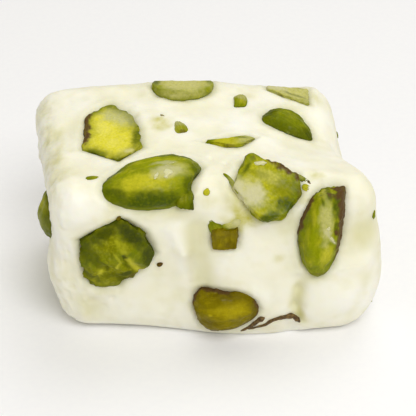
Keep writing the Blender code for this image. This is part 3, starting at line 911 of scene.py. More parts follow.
@dataclass
class KernelForm:
    """A kernel worked out on the bar: its frame, its skin, its cuts and its mesh."""

    kernel: Kernel
    block: Block
    relief: KernelRelief = KernelRelief()
    innermost: float = 0.001  # the smallest share of the way from its centre to its skin that is told apart

    def __post_init__(self) -> None:
        """Sets the kernel on the block."""
        kernel = self.kernel
        self.seed = float(len(kernel.name) + kernel.u + 3 * kernel.v)
        point, self.turn = self.block.frame_at(kernel.face, kernel.u, kernel.v)
        self.centre = point - self.turn[:, 2] * kernel.sink
        self.lie = rotation(2, kernel.heading) @ rotation(1, -kernel.nose) @ rotation(0, kernel.roll)
        self.reach = max(kernel.length, kernel.width, kernel.thickness) / 2

    def cuts(self, sliced: bool) -> list[tuple[np.ndarray, float]]:
        """The planes of its broken sides, and of the knife's slice if asked, in its own frame."""
        planes = []
        for bearing, rise, reach in self.kernel.chops:
            a, b = math.radians(bearing), math.radians(rise)
            away = np.array((math.cos(a) * math.cos(b), math.sin(a) * math.cos(b), math.sin(b)))
            planes.append((away, reach))
        if sliced and self.kernel.proud is not None:
            planes.append((self.lie.T @ (0, 0, 1), self.kernel.sink + self.kernel.proud))
        return planes

    def to_own(self, points: np.ndarray) -> np.ndarray:
        """Carries places on the bar into the kernel's own frame."""
        return (points - self.centre) @ self.turn @ self.lie

    def to_bar(self, points: np.ndarray) -> np.ndarray:
        """Carries places in the kernel's own frame onto the bar."""
        return points @ (self.turn @ self.lie).T + self.centre

    def skin_points(self, ways: np.ndarray) -> np.ndarray:
        """The whole kernel's skin in each direction of the unit sphere, whose pole is the long axis."""
        k = self.kernel
        tip = ways[:, 2]
        slim = 1 - k.taper * tip
        return np.stack((k.length / 2 * tip, k.width / 2 * slim * ways[:, 0] + k.bend * (1 - 2 * tip * tip),
                         k.thickness / 2 * slim * ways[:, 1]), 1)

    def clearance(self, points: np.ndarray) -> np.ndarray:
        """About how far places on the bar lie outside the unsliced kernel. It is negative inside."""
        k = self.kernel
        own = self.to_own(points)
        tip = np.clip(own[:, 0] / (k.length / 2), -1, 1)
        slim = 1 - k.taper * tip
        along = own[:, 0] / (k.length / 2)
        across = (own[:, 1] - k.bend * (1 - 2 * tip * tip)) / (k.width / 2 * slim)
        gauge = np.sqrt(along ** 2 + across ** 2 + (own[:, 2] / (k.thickness / 2 * slim)) ** 2)
        for normal, reach in self.cuts(sliced=False):
            gauge = np.maximum(gauge, own @ normal / reach)
        gauge = np.maximum(gauge, self.innermost)
        return np.linalg.norm(own, axis=1) * (1 - 1 / gauge)

    def cut_down(self, whole: np.ndarray) -> tuple[np.ndarray, np.ndarray]:
        """Cuts the broken sides and the slice off the whole kernel.

        Args:
            whole: the points of its skin, in its own frame.

        Returns:
            The points after the cuts, and how far each lies on the knife's cut, from 0 to 1.
        """
        power = np.ones(len(whole))
        knife = np.zeros(len(whole))
        planes = self.cuts(sliced=True)
        wobble = 1 + sum(grain.at(whole, self.seed) for grain in self.relief.breaks)
        for number, (normal, reach) in enumerate(planes):
            flat = self.kernel.proud is not None and number == len(planes) - 1
            over = np.maximum(whole @ normal / (reach if flat else reach * wobble), 0) ** CUT_HARDNESS
            power += over
            knife = over if flat else knife
        return whole / (power ** (1 / CUT_HARDNESS))[:, None], knife / power

    def crack(self, cut: np.ndarray) -> tuple[np.ndarray, dict[str, np.ndarray]]:
        """Splits the upper side and breaks it into plates.

        Args:
            cut: the kernel's points after its cuts, in its own frame.

        Returns:
            How far each point rises, and the marks light, deep and flesh.
        """
        rough = self.relief
        on_face = cut @ self.lie.T
        upper = ramp(on_face[:, 2], 0.5, 1.2)
        rise = np.zeros(len(cut))
        marks = {tone.value: np.zeros(len(cut)) for tone in (Tone.FLESH, Tone.LIGHT, Tone.DEEP)}
        for number, crack in enumerate(self.kernel.cracks):
            shift = np.stack([rough.crack_wander.at(cut, self.seed + number + i) for i in (0, 5)], 1)
            away = near_line(on_face[:, :2] + shift, np.array(crack.start), np.array(crack.end)) / crack.width
            rise -= upper * rough.crack_depths[crack.tone is Tone.DEEP] * bell(away, 1)
            raw = rough.crack_strength * upper * (1 - ramp(away + 1.5 * shift[:, 0], 0.2, 1.5))
            marks[crack.tone.value] = np.maximum(marks[crack.tone.value], raw)
        slanted = on_face * rough.plate_stretch + rough.plate_slant * on_face[:, [1, 0, 2]]
        plates = np.abs(rough.plates.at(slanted, self.seed))
        rise += upper * self.kernel.facets * (rough.plate_middle - plates)
        # Painted shade: the gaps between the plates take the deep tone.
        gaps = upper * min(self.kernel.facets, 1) * ramp(plates, 0.2, 0.45)
        marks[Tone.DEEP.value] = np.maximum(marks[Tone.DEEP.value], gaps)
        return rise, marks

    def mesh(self) -> tuple[np.ndarray, np.ndarray, dict[str, np.ndarray]]:
        """Works out the kernel's surface.

        Returns:
            Its points on the bar, its quads, and its marks: under_skin, lengthways, light, deep and flesh.
        """
        rough, seed = self.relief, self.seed
        ways, quads = ball_shell(self.kernel.rows)
        whole = self.skin_points(ways)
        whole *= 1 + self.kernel.ragged * sum(grain.at(whole, seed) for grain in rough.outline)[:, None]
        cut, knife = self.cut_down(whole)
        under = np.linalg.norm(whole, axis=1) - np.linalg.norm(cut, axis=1)
        skin = bell(under, rough.skin_depth)
        around = np.arctan2(whole[:, 2], whole[:, 1])
        turns = rough.fold_count * around + rough.fold_wander.at(whole * rough.fold_stretch, seed)
        folds = np.sin(turns) * (1 - ways[:, 2] ** 4)
        rise = skin * (rough.fold_height * folds + rough.wrinkles.at(whole * rough.wrinkle_stretch, seed))
        torn = rough.torn.at(cut, seed) - np.abs(rough.crevices.at(cut, seed))
        rise += self.kernel.ragged * (1 - skin) * (1 - knife) * torn
        chips = rough.chip_depth * ramp(rough.chips.at(cut, seed), 0.15, 0.5)
        rise += knife * (rough.sawn.at(cut, seed) - chips)
        split, marks = self.crack(cut)
        cut = cut + unit(cut) * (rise + split)[:, None]
        return self.to_bar(cut), quads, {**marks, "under_skin": under, "lengthways": cut}


@dataclass(frozen=True)
class KernelPiece:
    """Makes the visible kernel and paints its marks. Sizes are in millimetres."""

    form: KernelForm
    finishes: dict[Nut, bpy.types.Material]
    flattening: tuple[float, float, float] = (1, 1, 0.4)  # height counts less than distance across the face
    uneven: Grain = Grain(1.1, 1.0, 3, 0)  # breaks up the edge of every patch
    rim_gaps: Grain = Grain(3.5, 1.0, 2, 1)  # where its dark outline of painted shade fades
    rim_strength: float = 0.9
    turning_shade_width: float = 2.2  # how far in from the outline the painted shade reaches
    ragged_arc: float = 14.0  # how far the ends of an arc of skin wander, in degrees
    fading_arc: float = 10.0  # over how much of it an arc's ends fade, in degrees
    flakes: Grain = Grain(0.7, 0.1, 2, 1)
    skin_lift: float = 0.1  # how thick the papery skin is
    film_lift: float = 0.1  # how thick a smear of nougat is

    def inset(self, points: np.ndarray, quads: np.ndarray, bar: BVHTree) -> np.ndarray:
        """Distance from each of the kernel's points to its visible outline, negative inside the nougat.

        Args:
            points: the kernel's points on the bar.
            quads: its faces.
            bar: the nougat's surface, in millimetres.

        Returns:
            One distance a point.
        """
        height = np.empty(len(points))
        for i, point in enumerate(points.tolist()):
            spot, normal, _, away = bar.find_nearest(point)
            height[i] = away if (Vector(point) - spot).dot(normal) > 0 else -away
        edges = np.concatenate((quads[:, :2], quads[:, 1:3]))
        low, high = height[edges[:, 0]], height[edges[:, 1]]
        edges, low, high = (x[(low > 0) != (high > 0)] for x in (edges, low, high))
        if not len(edges):
            return np.full(len(points), FAR)
        flat = (points - self.form.centre) @ self.form.turn * self.flattening
        share = (low / (low - high))[:, None]
        outline = flat[edges[:, 0]] * (1 - share) + flat[edges[:, 1]] * share
        tree = KDTree(len(outline))
        for i, spot in enumerate(outline.tolist()):
            tree.insert(spot, i)
        tree.balance()
        away = np.array([tree.find(spot)[2] for spot in flat.tolist()])
        return np.where(height > 0, away, -away)

    def paint(self, points: np.ndarray, quads: np.ndarray, bar: BVHTree) -> dict[str, np.ndarray]:
        """Works out the marks that depend on where each point lies on the face and within the outline.

        Args:
            points: the kernel's points on the bar.
            quads: its faces.
            bar: the nougat's surface, in millimetres.

        Returns:
            The mark rim and one for each tone.
        """
        k = self.form.kernel
        on_face = (points - self.form.centre) @ self.form.turn
        seed = k.u - k.v
        rough = self.uneven.at(points, seed)
        inset = np.maximum(self.inset(points, quads, bar), 0)
        marks = {tone.value: np.zeros(len(points)) for tone in Tone}
        # Painted shade: the colour deepens towards the outline as the kernel turns down to the nougat, and a
        # dark line of painted shade, partly the kernel's own darker edge, runs along the outline.
        marks["rim"] = k.shadow * (1 - ramp(inset + 0.4 * rough, 0.1, self.turning_shade_width))
        if k.rim:
            whole = 0.35 + 0.65 * ramp(self.rim_gaps.at(points, seed), -0.35, 0.25)
            line = self.rim_strength * whole * (1 - ramp(inset / k.rim + 0.5 * rough, 0.1, 1.5))
            marks["rim"] = np.maximum(line, marks["rim"])
        bearing = np.degrees(np.arctan2(on_face[:, 1], on_face[:, 0]))
        for skin in k.skins:
            off = np.abs((bearing - skin.bearing + 180) % 360 - 180) + self.ragged_arc * rough
            near = 1 - ramp(inset * (1 + 0.5 * rough), 0.7 * skin.width, 1.15 * skin.width)
            arc = near * (1 - ramp(off, skin.half - self.fading_arc, skin.half))
            marks[Tone.BROWN.value] = np.maximum(marks[Tone.BROWN.value], arc)
        upper = ramp(on_face[:, 2], -1.5, 0)
        # The washes are partly the kernel's own tones and partly painted highlight and painted shade.
        for wash in k.washes:
            spread = (on_face[:, :2] - (wash.u, wash.v)) @ rotation(2, wash.angle)[:2, :2]
            away = np.hypot(*(spread / (wash.along, wash.across)).T) + 0.3 * rough
            patch = wash.strength * upper * (1 - ramp(away, 0.4, 1.25))
            marks[wash.tone.value] = np.maximum(marks[wash.tone.value], patch)
        marks["rim"] *= 1 - 0.9 * marks[Tone.FILM.value]
        return marks

    def surface(self, bar: BVHTree) -> tuple[np.ndarray, np.ndarray, dict[str, np.ndarray]]:
        """The kernel's points, quads and marks, with its papery skin and its smears raised."""
        points, quads, marks = self.form.mesh()
        for mark, values in self.paint(points, quads, bar).items():
            marks[mark] = np.maximum(values, marks[mark]) if mark in marks else values
        flaky = self.skin_lift + self.flakes.at(points)
        lift = marks[Tone.BROWN.value] * flaky + self.film_lift * marks[Tone.FILM.value]
        return points + outward_normals(points, quads) * lift[:, None], quads, marks

    def build(self, bar: BVHTree) -> bpy.types.Object:
        """Makes the piece and lets it stand for its solid."""
        kernel = self.form.kernel
        name = kernel.name.replace("pistachio", "kernel")
        points, quads, marks = self.surface(bar)
        piece = make_piece(name, points, quads, self.finishes[kernel.nut], marks)
        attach(piece, BODY)
        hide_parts(kernel.name)
        return piece


# ---------------------------------------------------------------------------------------------------
# The nougat
# ---------------------------------------------------------------------------------------------------


@dataclass(frozen=True)
class Spot:
    """A place on a face, with a size and a strength."""

    face: Face
    u: float
    v: float
    reach: float
    strength: float

    def away(self, points: np.ndarray, block: Block) -> np.ndarray:
        """Distance from each point to it, in its own size."""
        return distance(points, block.face_points(self.face, np.array(((self.u, self.v),)))) / self.reach


def spots(face: Face, *rows: tuple[float, float, float, float]) -> tuple[Spot, ...]:
    """Spots on one face from rows of their numbers."""
    return tuple(Spot(face, *row) for row in rows)


@dataclass
class NougatPiece:
    """The white bar: the block's form with a cut skin's relief, that dips where a kernel breaks it."""

    block: Block
    forms: list[KernelForm]
    rows: tuple[int, int, int] = (158, 106, 98)
    edge_rows: int = 14
    waves: Grain = Grain(8.0, 0.3, 1, 1)
    dimples: Grain = Grain(3.2, 0.14, 2, 2)
    tooth: Grain = Grain(1.1, 0.03, 2, 3)
    grooves: Grain = Grain(0.9, 1.0, 2, 4)  # upright scratches of the left end
    drags: Grain = Grain(0.9, 1.0, 2, 5)  # slanted ones, low on the left of the front
    torn: Grain = Grain(1.4, 1.0, 3, 12)
    upright: tuple[float, float, float] = (1.0, 1.0, 0.12)  # what stretches the pattern up the end
    slanted: tuple = ((1, 0, 0.6), (0, 1, 0), (-0.1, 0, 0.12))
    torn_front: Swell = Swell((-21.5, -15.5, 8.0), 5.5, 1.0)
    crease_wander: tuple[Grain, ...] = tuple(Grain(5.0, 0.3, 1, seed) for seed in (20, 21, 22))
    shaded_depth: float = 0.3  # a shallower crease has no shade of its own
    near: float = 6.0  # how far off a kernel still counts
    seam_depth: float = 0.22  # how far the surface dips where it meets a kernel
    seam_width: float = 0.55
    seam_wander: Grain = Grain(1.2, 0.1, 2, 8)
    buried_depth: float = 0.9  # how much further it dips under one
    lip_height: float = 0.16  # how far it climbs beside the dip
    lip_place: float = 1.2
    lip_width: float = 0.7
    seam_shade_width: float = 0.9  # how far the painted shade and the kernel's colour show round it
    seam_shade_strength: float = 0.75
    lumps: tuple[Swell, ...] = (
        Swell((-21.5, -14.5, 27.0), 4.5, 0.6),  # shoulder at the front left corner
        Swell((-20.5, -16.0, 21.5), 3.0, -0.45),  # hollow under it
        Swell((11.0, -16.0, 22.5), 3.0, -0.5),  # hollow under the veiled kernel
        Swell((22.5, -16.0, 20.5), 3.2, -0.55),  # hollow beside the tall kernel
        Swell((16.6, -16.0, 7.8), 4.0, 1.0),  # round lobe
        Swell((14.5, -16.0, 15.5), 2.4, -0.35),  # dip over the lobe's left shoulder
        Swell((5.0, -16.0, 12.0), 5.0, 0.35),  # middle of the front face
        Swell((-13.5, -16.0, 6.0), 4.0, 0.4),  # under the broken kernel
        Swell((-6.5, -15.5, 24.7), 2.2, -0.5),  # dip over the upright ridge
        Swell((-20.5, -13.0, 6.5), 3.5, -0.5),  # dip low on the left
        Swell((2.0, -15.0, 27.5), 3.0, -0.4),  # dip between the two kernels on the edge
        Swell((20.0, -4.0, 30.0), 4.0, 0.35),  # right of the top
        Swell((6.5, 4.5, 30.0), 4.5, 0.3),
        Swell((-6.0, -4.5, 30.0), 3.0, -0.2),
    )
    creases: tuple[Furrow, ...] = (
        Furrow((13.7, -16.4, 12.8), (12.6, -15.9, 9.8), 0.8, 0.35),  # left side of the lobe, in three bends
        Furrow((12.6, -15.9, 9.8), (12.3, -15.9, 6.6), 0.95, 0.5),
        Furrow((12.3, -15.9, 6.6), (13.2, -16.2, 3.8), 0.8, 0.5),
        Furrow((16.0, -16.8, 14.4), (23.0, -16.5, 15.0), 1.4, -0.45),  # fold over the lobe
        Furrow((15.0, -16.6, 12.6), (21.5, -16.9, 12.8), 1.3, 0.3),  # dip under that fold
        Furrow((20.6, -17.0, 5.1), (23.2, -16.9, 11.4), 1.2, 0.3),  # its right side
        Furrow((-6.7, -16.0, 22.4), (-5.2, -16.0, 18.2), 1.3, -0.7),  # ridge right of the broken kernel
        Furrow((-5.2, -16.0, 18.2), (-5.0, -16.0, 11.0), 1.2, -0.6),
        Furrow((-3.4, -16.0, 22.0), (-2.6, -16.0, 10.0), 1.6, 0.6),  # valley beside it
        Furrow((21.5, 9.0, 30.0), (24.0, -5.0, 30.0), 1.0, -0.35),  # edge of the pressed corner
        Furrow((-22.0, -16.0, 14.0), (-18.5, -16.0, 6.0), 1.2, 0.3),  # scrape at the lower left
        Furrow((-26.0, -13.5, 28.0), (-25.5, -12.5, 5.0), 0.7, -0.4),  # fold between left end and front
        Furrow((-26.5, -11.5, 27.0), (-26.5, -10.5, 5.0), 0.8, 0.35),
        Furrow((2.0, -3.5, 30.0), (14.0, -7.5, 30.0), 1.6, 0.25),  # drag of the knife over the top
    )
    stains: tuple[Spot, ...] = (
        # Along the top's left edge, then among the kernels of the top.
        *spots(Face.TOP, (-25.6, 9.0, 2.0, 0.5), (-25.4, 4.0, 1.8, 0.4), (-25.2, 0.6, 2.4, 0.6),
               (-25.0, -4.6, 2.6, 0.65), (-24.8, -9.5, 2.2, 0.5), (-6.4, 2.9, 1.3, 1.1),
               (-5.4, 1.9, 1.4, 1.0), (-6.2, 1.2, 1.1, 0.9), (10.4, 9.6, 1.4, 0.35),
               (18.5, 7.5, 2.4, 0.25), (22.3, 9.5, 1.6, 0.4), (15.8, -12.6, 1.2, 0.7)),
        # Between the veiled kernel and the small one, then here and there on the front.
        *spots(Face.FRONT, (2.8, 8.8, 1.6, 1.5), (3.9, 9.7, 1.9, 1.7), (4.9, 10.3, 1.8, 1.7),
               (3.2, 11.2, 1.6, 1.3), (6.4, 10.4, 1.6, 1.4), (2.9, 13.2, 1.5, 0.8), (1.6, 9.0, 1.2, 0.6),
               (-1.6, 12.8, 1.1, 0.5), (10.1, 1.6, 0.8, 0.55), (-16.5, 11.0, 2.2, 0.3), (0.8, 2.2, 1.3, 0.2),
               (14.0, 13.6, 1.3, 0.5), (14.3, -9.6, 1.1, 0.6)),
    )
    pits: tuple[Spot, ...] = (
        *spots(Face.FRONT, (-21.0, -7.5, 0.6, 0.4), (-19.4, -8.6, 0.4, 0.3), (-22.6, -1.5, 0.5, 0.3),
               (-17.8, -6.6, 0.4, 0.3)),
        *spots(Face.TOP, (6.3, -7.6, 0.5, 0.4), (2.4, -8.8, 0.4, 0.3), (0.4, -7.4, 0.4, 0.25)),
        *spots(Face.BACK, (8.0, 9.0, 0.6, 0.4), (-8.5, -8.0, 0.5, 0.4)),
        *spots(Face.RIGHT, (9.0, 6.0, 0.6, 0.4)),
        *spots(Face.LEFT, (-10.0, 8.5, 0.5, 0.3)),
    )

    def lines(self) -> list[np.ndarray]:
        """Where the rows of quads cross each axis: close together round the edges, even between them."""
        result = []
        radius = self.block.edge_radius
        for half, rows in zip(self.block.half(), self.rows):
            bend = half - radius + radius * np.tan(np.linspace(0, math.pi / 4, self.edge_rows + 1)[1:])
            flat = np.linspace(-(half - radius), half - radius, rows - 2 * self.edge_rows + 1)
            result.append(np.concatenate((-bend[::-1], flat, bend)))
        return result

    def clearance(self, points: np.ndarray) -> np.ndarray:
        """Distance from each point to the nearest kernel, negative inside one, and FAR where none is near."""
        nearest = np.full(len(points), FAR)
        for form in self.forms:
            close = distance(points, form.centre) < form.reach + self.near
            nearest[close] = np.minimum(nearest[close], form.clearance(points[close]))
        return nearest

    def wander(self, points: np.ndarray) -> np.ndarray:
        """The points moved about a little, so that a crease measured from them isn't straight."""
        place = points - CENTRING
        return place + np.stack([grain.at(place) for grain in self.crease_wander], 1)

    def modelling(self, points: np.ndarray) -> np.ndarray:
        """The soft lumps, hollows and creases that the block's own form doesn't have, in millimetres."""
        rise = self.waves.at(points) + self.dimples.at(points)
        for lump in self.lumps:
            rise += lump.rise(points - CENTRING)
        wander = self.wander(points)
        for crease in self.creases:
            rise += crease.rise(wander)
        return rise

    def shade_mark(self, points: np.ndarray) -> np.ndarray:
        """Painted shade in the deeper creases, from 0 to 1."""
        wander = self.wander(points)
        mark = np.zeros(len(points))
        for crease in self.creases:
            if crease.depth > self.shaded_depth:
                shade = min(1.6 * crease.depth, 1) * bell(crease.away(wander), 1.2 * crease.width)
                mark = np.maximum(mark, shade)
        return mark

    def fine(self, points: np.ndarray) -> np.ndarray:
        """The cut skin's tooth and pits, in millimetres."""
        rise = self.tooth.at(points)
        for pit in self.pits:
            rise -= pit.strength * bell(pit.away(points, self.block), 1)
        return rise

    def scrape(self, points: np.ndarray, outward: np.ndarray) -> np.ndarray:
        """Grooves and torn crumbs on the left end and low on the left of the front, in millimetres."""
        grooves = self.grooves.at(points * self.upright)
        drags = self.drags.at(points @ np.array(self.slanted))
        torn = self.torn.at(points)
        left_end = ramp(-outward[:, 0], 0.15, 0.6)
        lower_left = self.torn_front.rise(points)
        return left_end * (0.16 * grooves + 0.16 * torn) + lower_left * (0.25 * drags + 0.2 * torn)

    def seam(self, gap: np.ndarray) -> np.ndarray:
        """How far the surface sinks beside and under a kernel, less the lip that it climbs to further off."""
        beside = self.seam_depth * bell(gap, self.seam_width)
        lip = self.lip_height * bell(gap - self.lip_place, self.lip_width)
        return np.where(gap > 0, beside, self.seam_depth + np.minimum(-gap, self.buried_depth)) - lip

    def stain_mark(self, points: np.ndarray) -> np.ndarray:
        """Where oil and colour from the kernels have tinted the nougat, from 0 to 1."""
        rough = ripple(points, 1.8, 6.0, 3)
        mark = np.zeros(len(points))
        for spot in self.stains:
            near = 1 - ramp(spot.away(points, self.block) + 0.5 * rough, 0.0, 1.6)
            mark = np.maximum(mark, 0.8 * spot.strength * near)
        return np.clip(mark + 0.12 * ramp(ripple(points, 3.0, 7.0, 2), 0.1, 0.7), 0, 1)

    def crumb_room(self, points: np.ndarray, outward: np.ndarray, gap: np.ndarray) -> np.ndarray:
        """Where crumbs may lie, from 0 to 1: in patches of the back and the right end, clear of kernels."""
        turned_away = np.clip(ramp(outward[:, 1], 0.2, 0.8) + ramp(outward[:, 0], 0.5, 0.9), 0, 1)
        off_floor = ramp(points[:, 2], 1.0, 2.5)
        under_top = 1 - ramp(points[:, 2], 23.0, 26.0)
        patchy = ramp(ripple(points, 5.0, 9.0), -0.2, 0.3)
        return ramp(gap, 0.8, 1.3) * turned_away * off_floor * under_top * patchy

    def build(self, material: bpy.types.Material) -> tuple[bpy.types.Object, BVHTree]:
        """Makes the nougat and lets it stand for its solid.

        Args:
            material: its finish.

        Returns:
            The piece, and its surface in millimetres for the kernels to be measured from.
        """
        sharp, quads = box_shell(self.lines())
        points, outward = self.block.shape(sharp)
        gap = self.clearance(points) + self.seam_wander.at(points)
        soft = self.modelling(points)
        above = ramp(points[:, 2], 0.2, 2.5)
        scrape = self.scrape(points, outward)
        rise = (soft + scrape + self.fine(points)) * above - self.seam(gap)
        points = points + outward * rise[:, None]
        points[:, 2] = np.maximum(points[:, 2], 0)
        # Painted shade: darker where the soft modelling sinks, in the deeper creases and in the scraped
        # grooves.
        hollow = np.maximum.reduce((0.7 * (1 - ramp(soft, -0.75, 0.25)) * above, self.shade_mark(points),
                                    0.3 * ramp(-scrape, 0.0, 0.18) * above))
        # Painted shade round each kernel, where the nougat meets it, with the kernel's colour showing
        # through.
        seam_shade_and_tint = self.seam_shade_strength * np.exp(-((np.maximum(gap, 0) / self.seam_shade_width) ** 1.2))
        marks = {"stain": self.stain_mark(points), "crumb_room": self.crumb_room(points, outward, gap),
                 "seam_shade_and_tint": seam_shade_and_tint, "hollow": hollow}
        piece = make_piece("nougat_body", points, quads, material, marks)
        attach(piece, BODY)
        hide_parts("nougat")
        return piece, BVHTree.FromPolygons(points.tolist(), quads.tolist())


# ---------------------------------------------------------------------------------------------------
# Slivers and crumbs
# ---------------------------------------------------------------------------------------------------


SLIVERS = (
    Kernel(
        "top_crumb", Face.TOP, 8.9, 7.9, 4.2, 2.6, 1.6, 80, 0.15, Nut.BRIGHT,
        chops=((0, 0, 1.7), (95, 0, 1.0), (200, 0, 1.7)), ragged=2.0, rim=0.1, shadow=0.3, rows=18,
        washes=patches(light=((0.3, -0.6, 0.8, 0.8, 0, 0.6),), dull=((0.3, 0.8, 1.4, 1.2, 0, 0.9),)),
    ),
    Kernel(
        "top_chip", Face.TOP, -2.9, 0.9, 3.9, 2.3, 1.4, 100, 0.2, Nut.FLESH,
        chops=((180, 0, 1.6), (20, 0, 1.7)), ragged=2.4, rim=0.0, shadow=0.3, rows=18,
        washes=patches(dull=((-0.1, 0.8, 1.2, 1.2, 0, 0.9),), brown=((0.5, -1.5, 0.7, 0.5, 0, 0.6),)),
    ),
    Kernel("filmed_chip", Face.TOP, -5.2, 4.0, 1.2, 0.5, 0.5, -30, 0.05, Nut.OLIVE, rows=8),
    Kernel(
        "edge_chip", Face.FRONT, -5.2, 13.5, 3.8, 3.4, 2.4, 84, 0.15, Nut.GREEN,
        chops=((6, 0, 1.35), (172, 0, 1.4), (88, 0, 1.3), (-80, 0, 1.2)), ragged=2.0, rim=0.2, shadow=0.4,
        rows=22,
        washes=patches(light=((-0.5, 0.5, 0.9, 1.2, 0, 0.5),), deep=((1.0, -1.0, 0.5, 1.2, 0, 0.7),)),
    ),
    Kernel(
        "left_dash", Face.TOP, -19.3, -12.0, 2.6, 1.5, 0.7, 12, 0.06, Nut.BRIGHT, ragged=2.0, rim=0.0,
        shadow=0.1, rows=12, washes=patches(deep=((-0.6, 0, 0.8, 0.8, 0, 0.4),)),
    ),
    Kernel(
        "edge_crumb", Face.TOP, -1.8, -15.5, 1.2, 1.0, 0.7, 60, 0.2, Nut.BRIGHT, rim=0.05, shadow=0.0,
        rows=10, washes=patches(light=((0, 0, 1.4, 1.4),)),
    ),
    Kernel(
        "edge_dash", Face.TOP, 13.9, -13.3, 3.0, 0.8, 0.6, -40, 0.08, Nut.BRIGHT, rim=0.1, shadow=0.3,
        rows=12,
        washes=patches(dull=((-0.6, 0.4, 0.8, 0.6, 0, 0.5),), brown=((0.9, -0.7, 0.5, 0.6, 0, 0.9),)),
    ),
    Kernel(
        "edge_sprig", Face.TOP, 14.2, -15.4, 1.6, 1.2, 0.7, -32, 0.05, Nut.BRIGHT, rim=0.05, shadow=0.1,
        rows=10, washes=patches(light=((0, 0, 1, 1),)),
    ),
    Kernel(
        "front_speck", Face.FRONT, -9.5, 1.0, 0.8, 0.5, 0.5, 20, 0.05, Nut.OLIVE, skins=(Skin(0, 180, 0.4),),
        rows=8,
    ),
    Kernel(
        "broken_speck", Face.FRONT, -15.9, 10.6, 1.2, 0.7, 0.6, 84, 0.08, Nut.OLIVE, rows=8,
        washes=patches(brown=((0, 0.3, 0.5, 0.5, 0, 0.6),)),
    ),
    Kernel(
        "edge_sliver", Face.TOP, 2.4, -13.6, 4.2, 0.6, 0.7, -62, 0.14, Nut.BRIGHT, bend=0.12, rim=0.05,
        shadow=0.3, rows=14, washes=patches(dull=((0, 0, 1.2, 1.2, 0, 0.5),)),
    ),
    Kernel(
        "small_spike", Face.FRONT, -0.65, 8.1, 3.4, 2.0, 1.0, 122, 0.08, Nut.GREEN, taper=0.6, ragged=1.5,
        rim=0.0, shadow=0.1, rows=16, washes=patches(light=((0.5, -0.5, 1.0, 1.0, 0, 0.6),)),
    ),
    Kernel(
        "small_leaf", Face.FRONT, 1.95, 8.35, 3.0, 1.8, 0.9, 30, 0.16, Nut.BRIGHT, ragged=2.6, rim=0.0,
        shadow=0.0, rows=16,
        washes=patches(film=((0.9, 0.6, 0.9, 0.7, 0, 0.5),), dull=((0.4, 0.2, 1.8, 1.2, 0, 0.9),)),
    ),
)


@dataclass(frozen=True)
class Slivers:
    """The small bits of kernel on the seen faces, joined into one piece for each finish."""

    kernels: tuple[Kernel, ...] = SLIVERS

    def build(self, block: Block, finishes: dict[Nut, bpy.types.Material],
              bar: BVHTree) -> list[bpy.types.Object]:
        """Lays the bits on the nougat.

        Args:
            block: the bar's form.
            finishes: the kernels' materials.
            bar: the nougat's surface, in millimetres.

        Returns:
            The pieces.
        """
        pieces = []
        for nut in Nut:
            forms = [KernelForm(kernel, block) for kernel in self.kernels if kernel.nut is nut]
            points, quads, marks = zip(*(KernelPiece(form, finishes).surface(bar) for form in forms))
            starts = np.cumsum([0] + [len(spots) for spots in points])
            quads = np.concatenate([faces + start for faces, start in zip(quads, starts)])
            joined = {mark: np.concatenate([own[mark] for own in marks]) for mark in marks[0]}
            name = "slivers_" + nut.name.lower()
            piece = make_piece(name, np.concatenate(points), quads, finishes[nut], joined)
            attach(piece, BODY)
            pieces.append(piece)
        return pieces


@dataclass(frozen=True)
class Scraping:
    """A crumb of nougat stuck on a kernel: where its middle lies, from the kernel's, and its sizes."""

    kernel: str
    u: float
    v: float
    height: float
    length: float
    width: float
    heading: float


@dataclass(frozen=True)
class Scrapings:
    """The crumbs of nougat on the kernels, as one piece; two of them are painted glints."""

    crumbs: tuple[Scraping, ...] = (
        Scraping("pistachio_edge_large", 2.4, -0.5, 3.0, 2.2, 1.7, 78),
        Scraping("pistachio_edge_large", 2.4, 1.1, 2.9, 2.4, 0.4, 10),
        Scraping("pistachio_edge_large", 0.6, -1.3, 3.05, 1.3, 0.5, 60),
        Scraping("pistachio_edge_large", 3.9, -0.2, 2.75, 1.1, 0.4, 80),
        # a painted glint
        Scraping("pistachio_edge_veiled", -1.2, 3.7, 1.2, 1.8, 0.8, 6),
        # a painted glint
        Scraping("pistachio_front_tall", 0.9, -1.4, 2.95, 2.0, 0.4, -58),
        Scraping("pistachio_front_tall", 0.2, 0.4, 3.05, 0.9, 0.6, 30),
    )
    rows: int = 12
    thickness: float = 0.68
    lumps: Grain = Grain(0.9, 0.5, 2, 30)  # shares of its radius
    stain: float = 0.3
    # the crumbs' own tint, in the colour that paints shade in the nougat's dips
    hollow: float = 0.75

    def build(self, forms: list[KernelForm], material: bpy.types.Material) -> bpy.types.Object:
        """Sticks the crumbs on their kernels.

        Args:
            forms: the kernels.
            material: the nougat's finish.

        Returns:
            The piece.
        """
        places = {form.kernel.name: form for form in forms}
        ball, faces = ball_shell(self.rows)
        points, quads = [], []
        for number, crumb in enumerate(self.crumbs):
            form = places[crumb.kernel]
            lump = ball * (1 + self.lumps.at(ball, number))[:, None]
            lump = lump * (crumb.length / 2, crumb.width / 2, self.thickness / 2)
            lump = lump @ rotation(2, crumb.heading).T + (crumb.u, crumb.v, crumb.height)
            points.append(lump @ form.turn.T + form.centre)
            quads.append(faces + number * len(ball))
        count = len(self.crumbs) * len(ball)
        marks = {"stain": np.full(count, self.stain), "seam_shade_and_tint": np.zeros(count),
                 "hollow": np.full(count, self.hollow)}
        piece = make_piece("nougat_crumbs", np.concatenate(points), np.concatenate(quads), material, marks)
        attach(piece, BODY)
        return piece


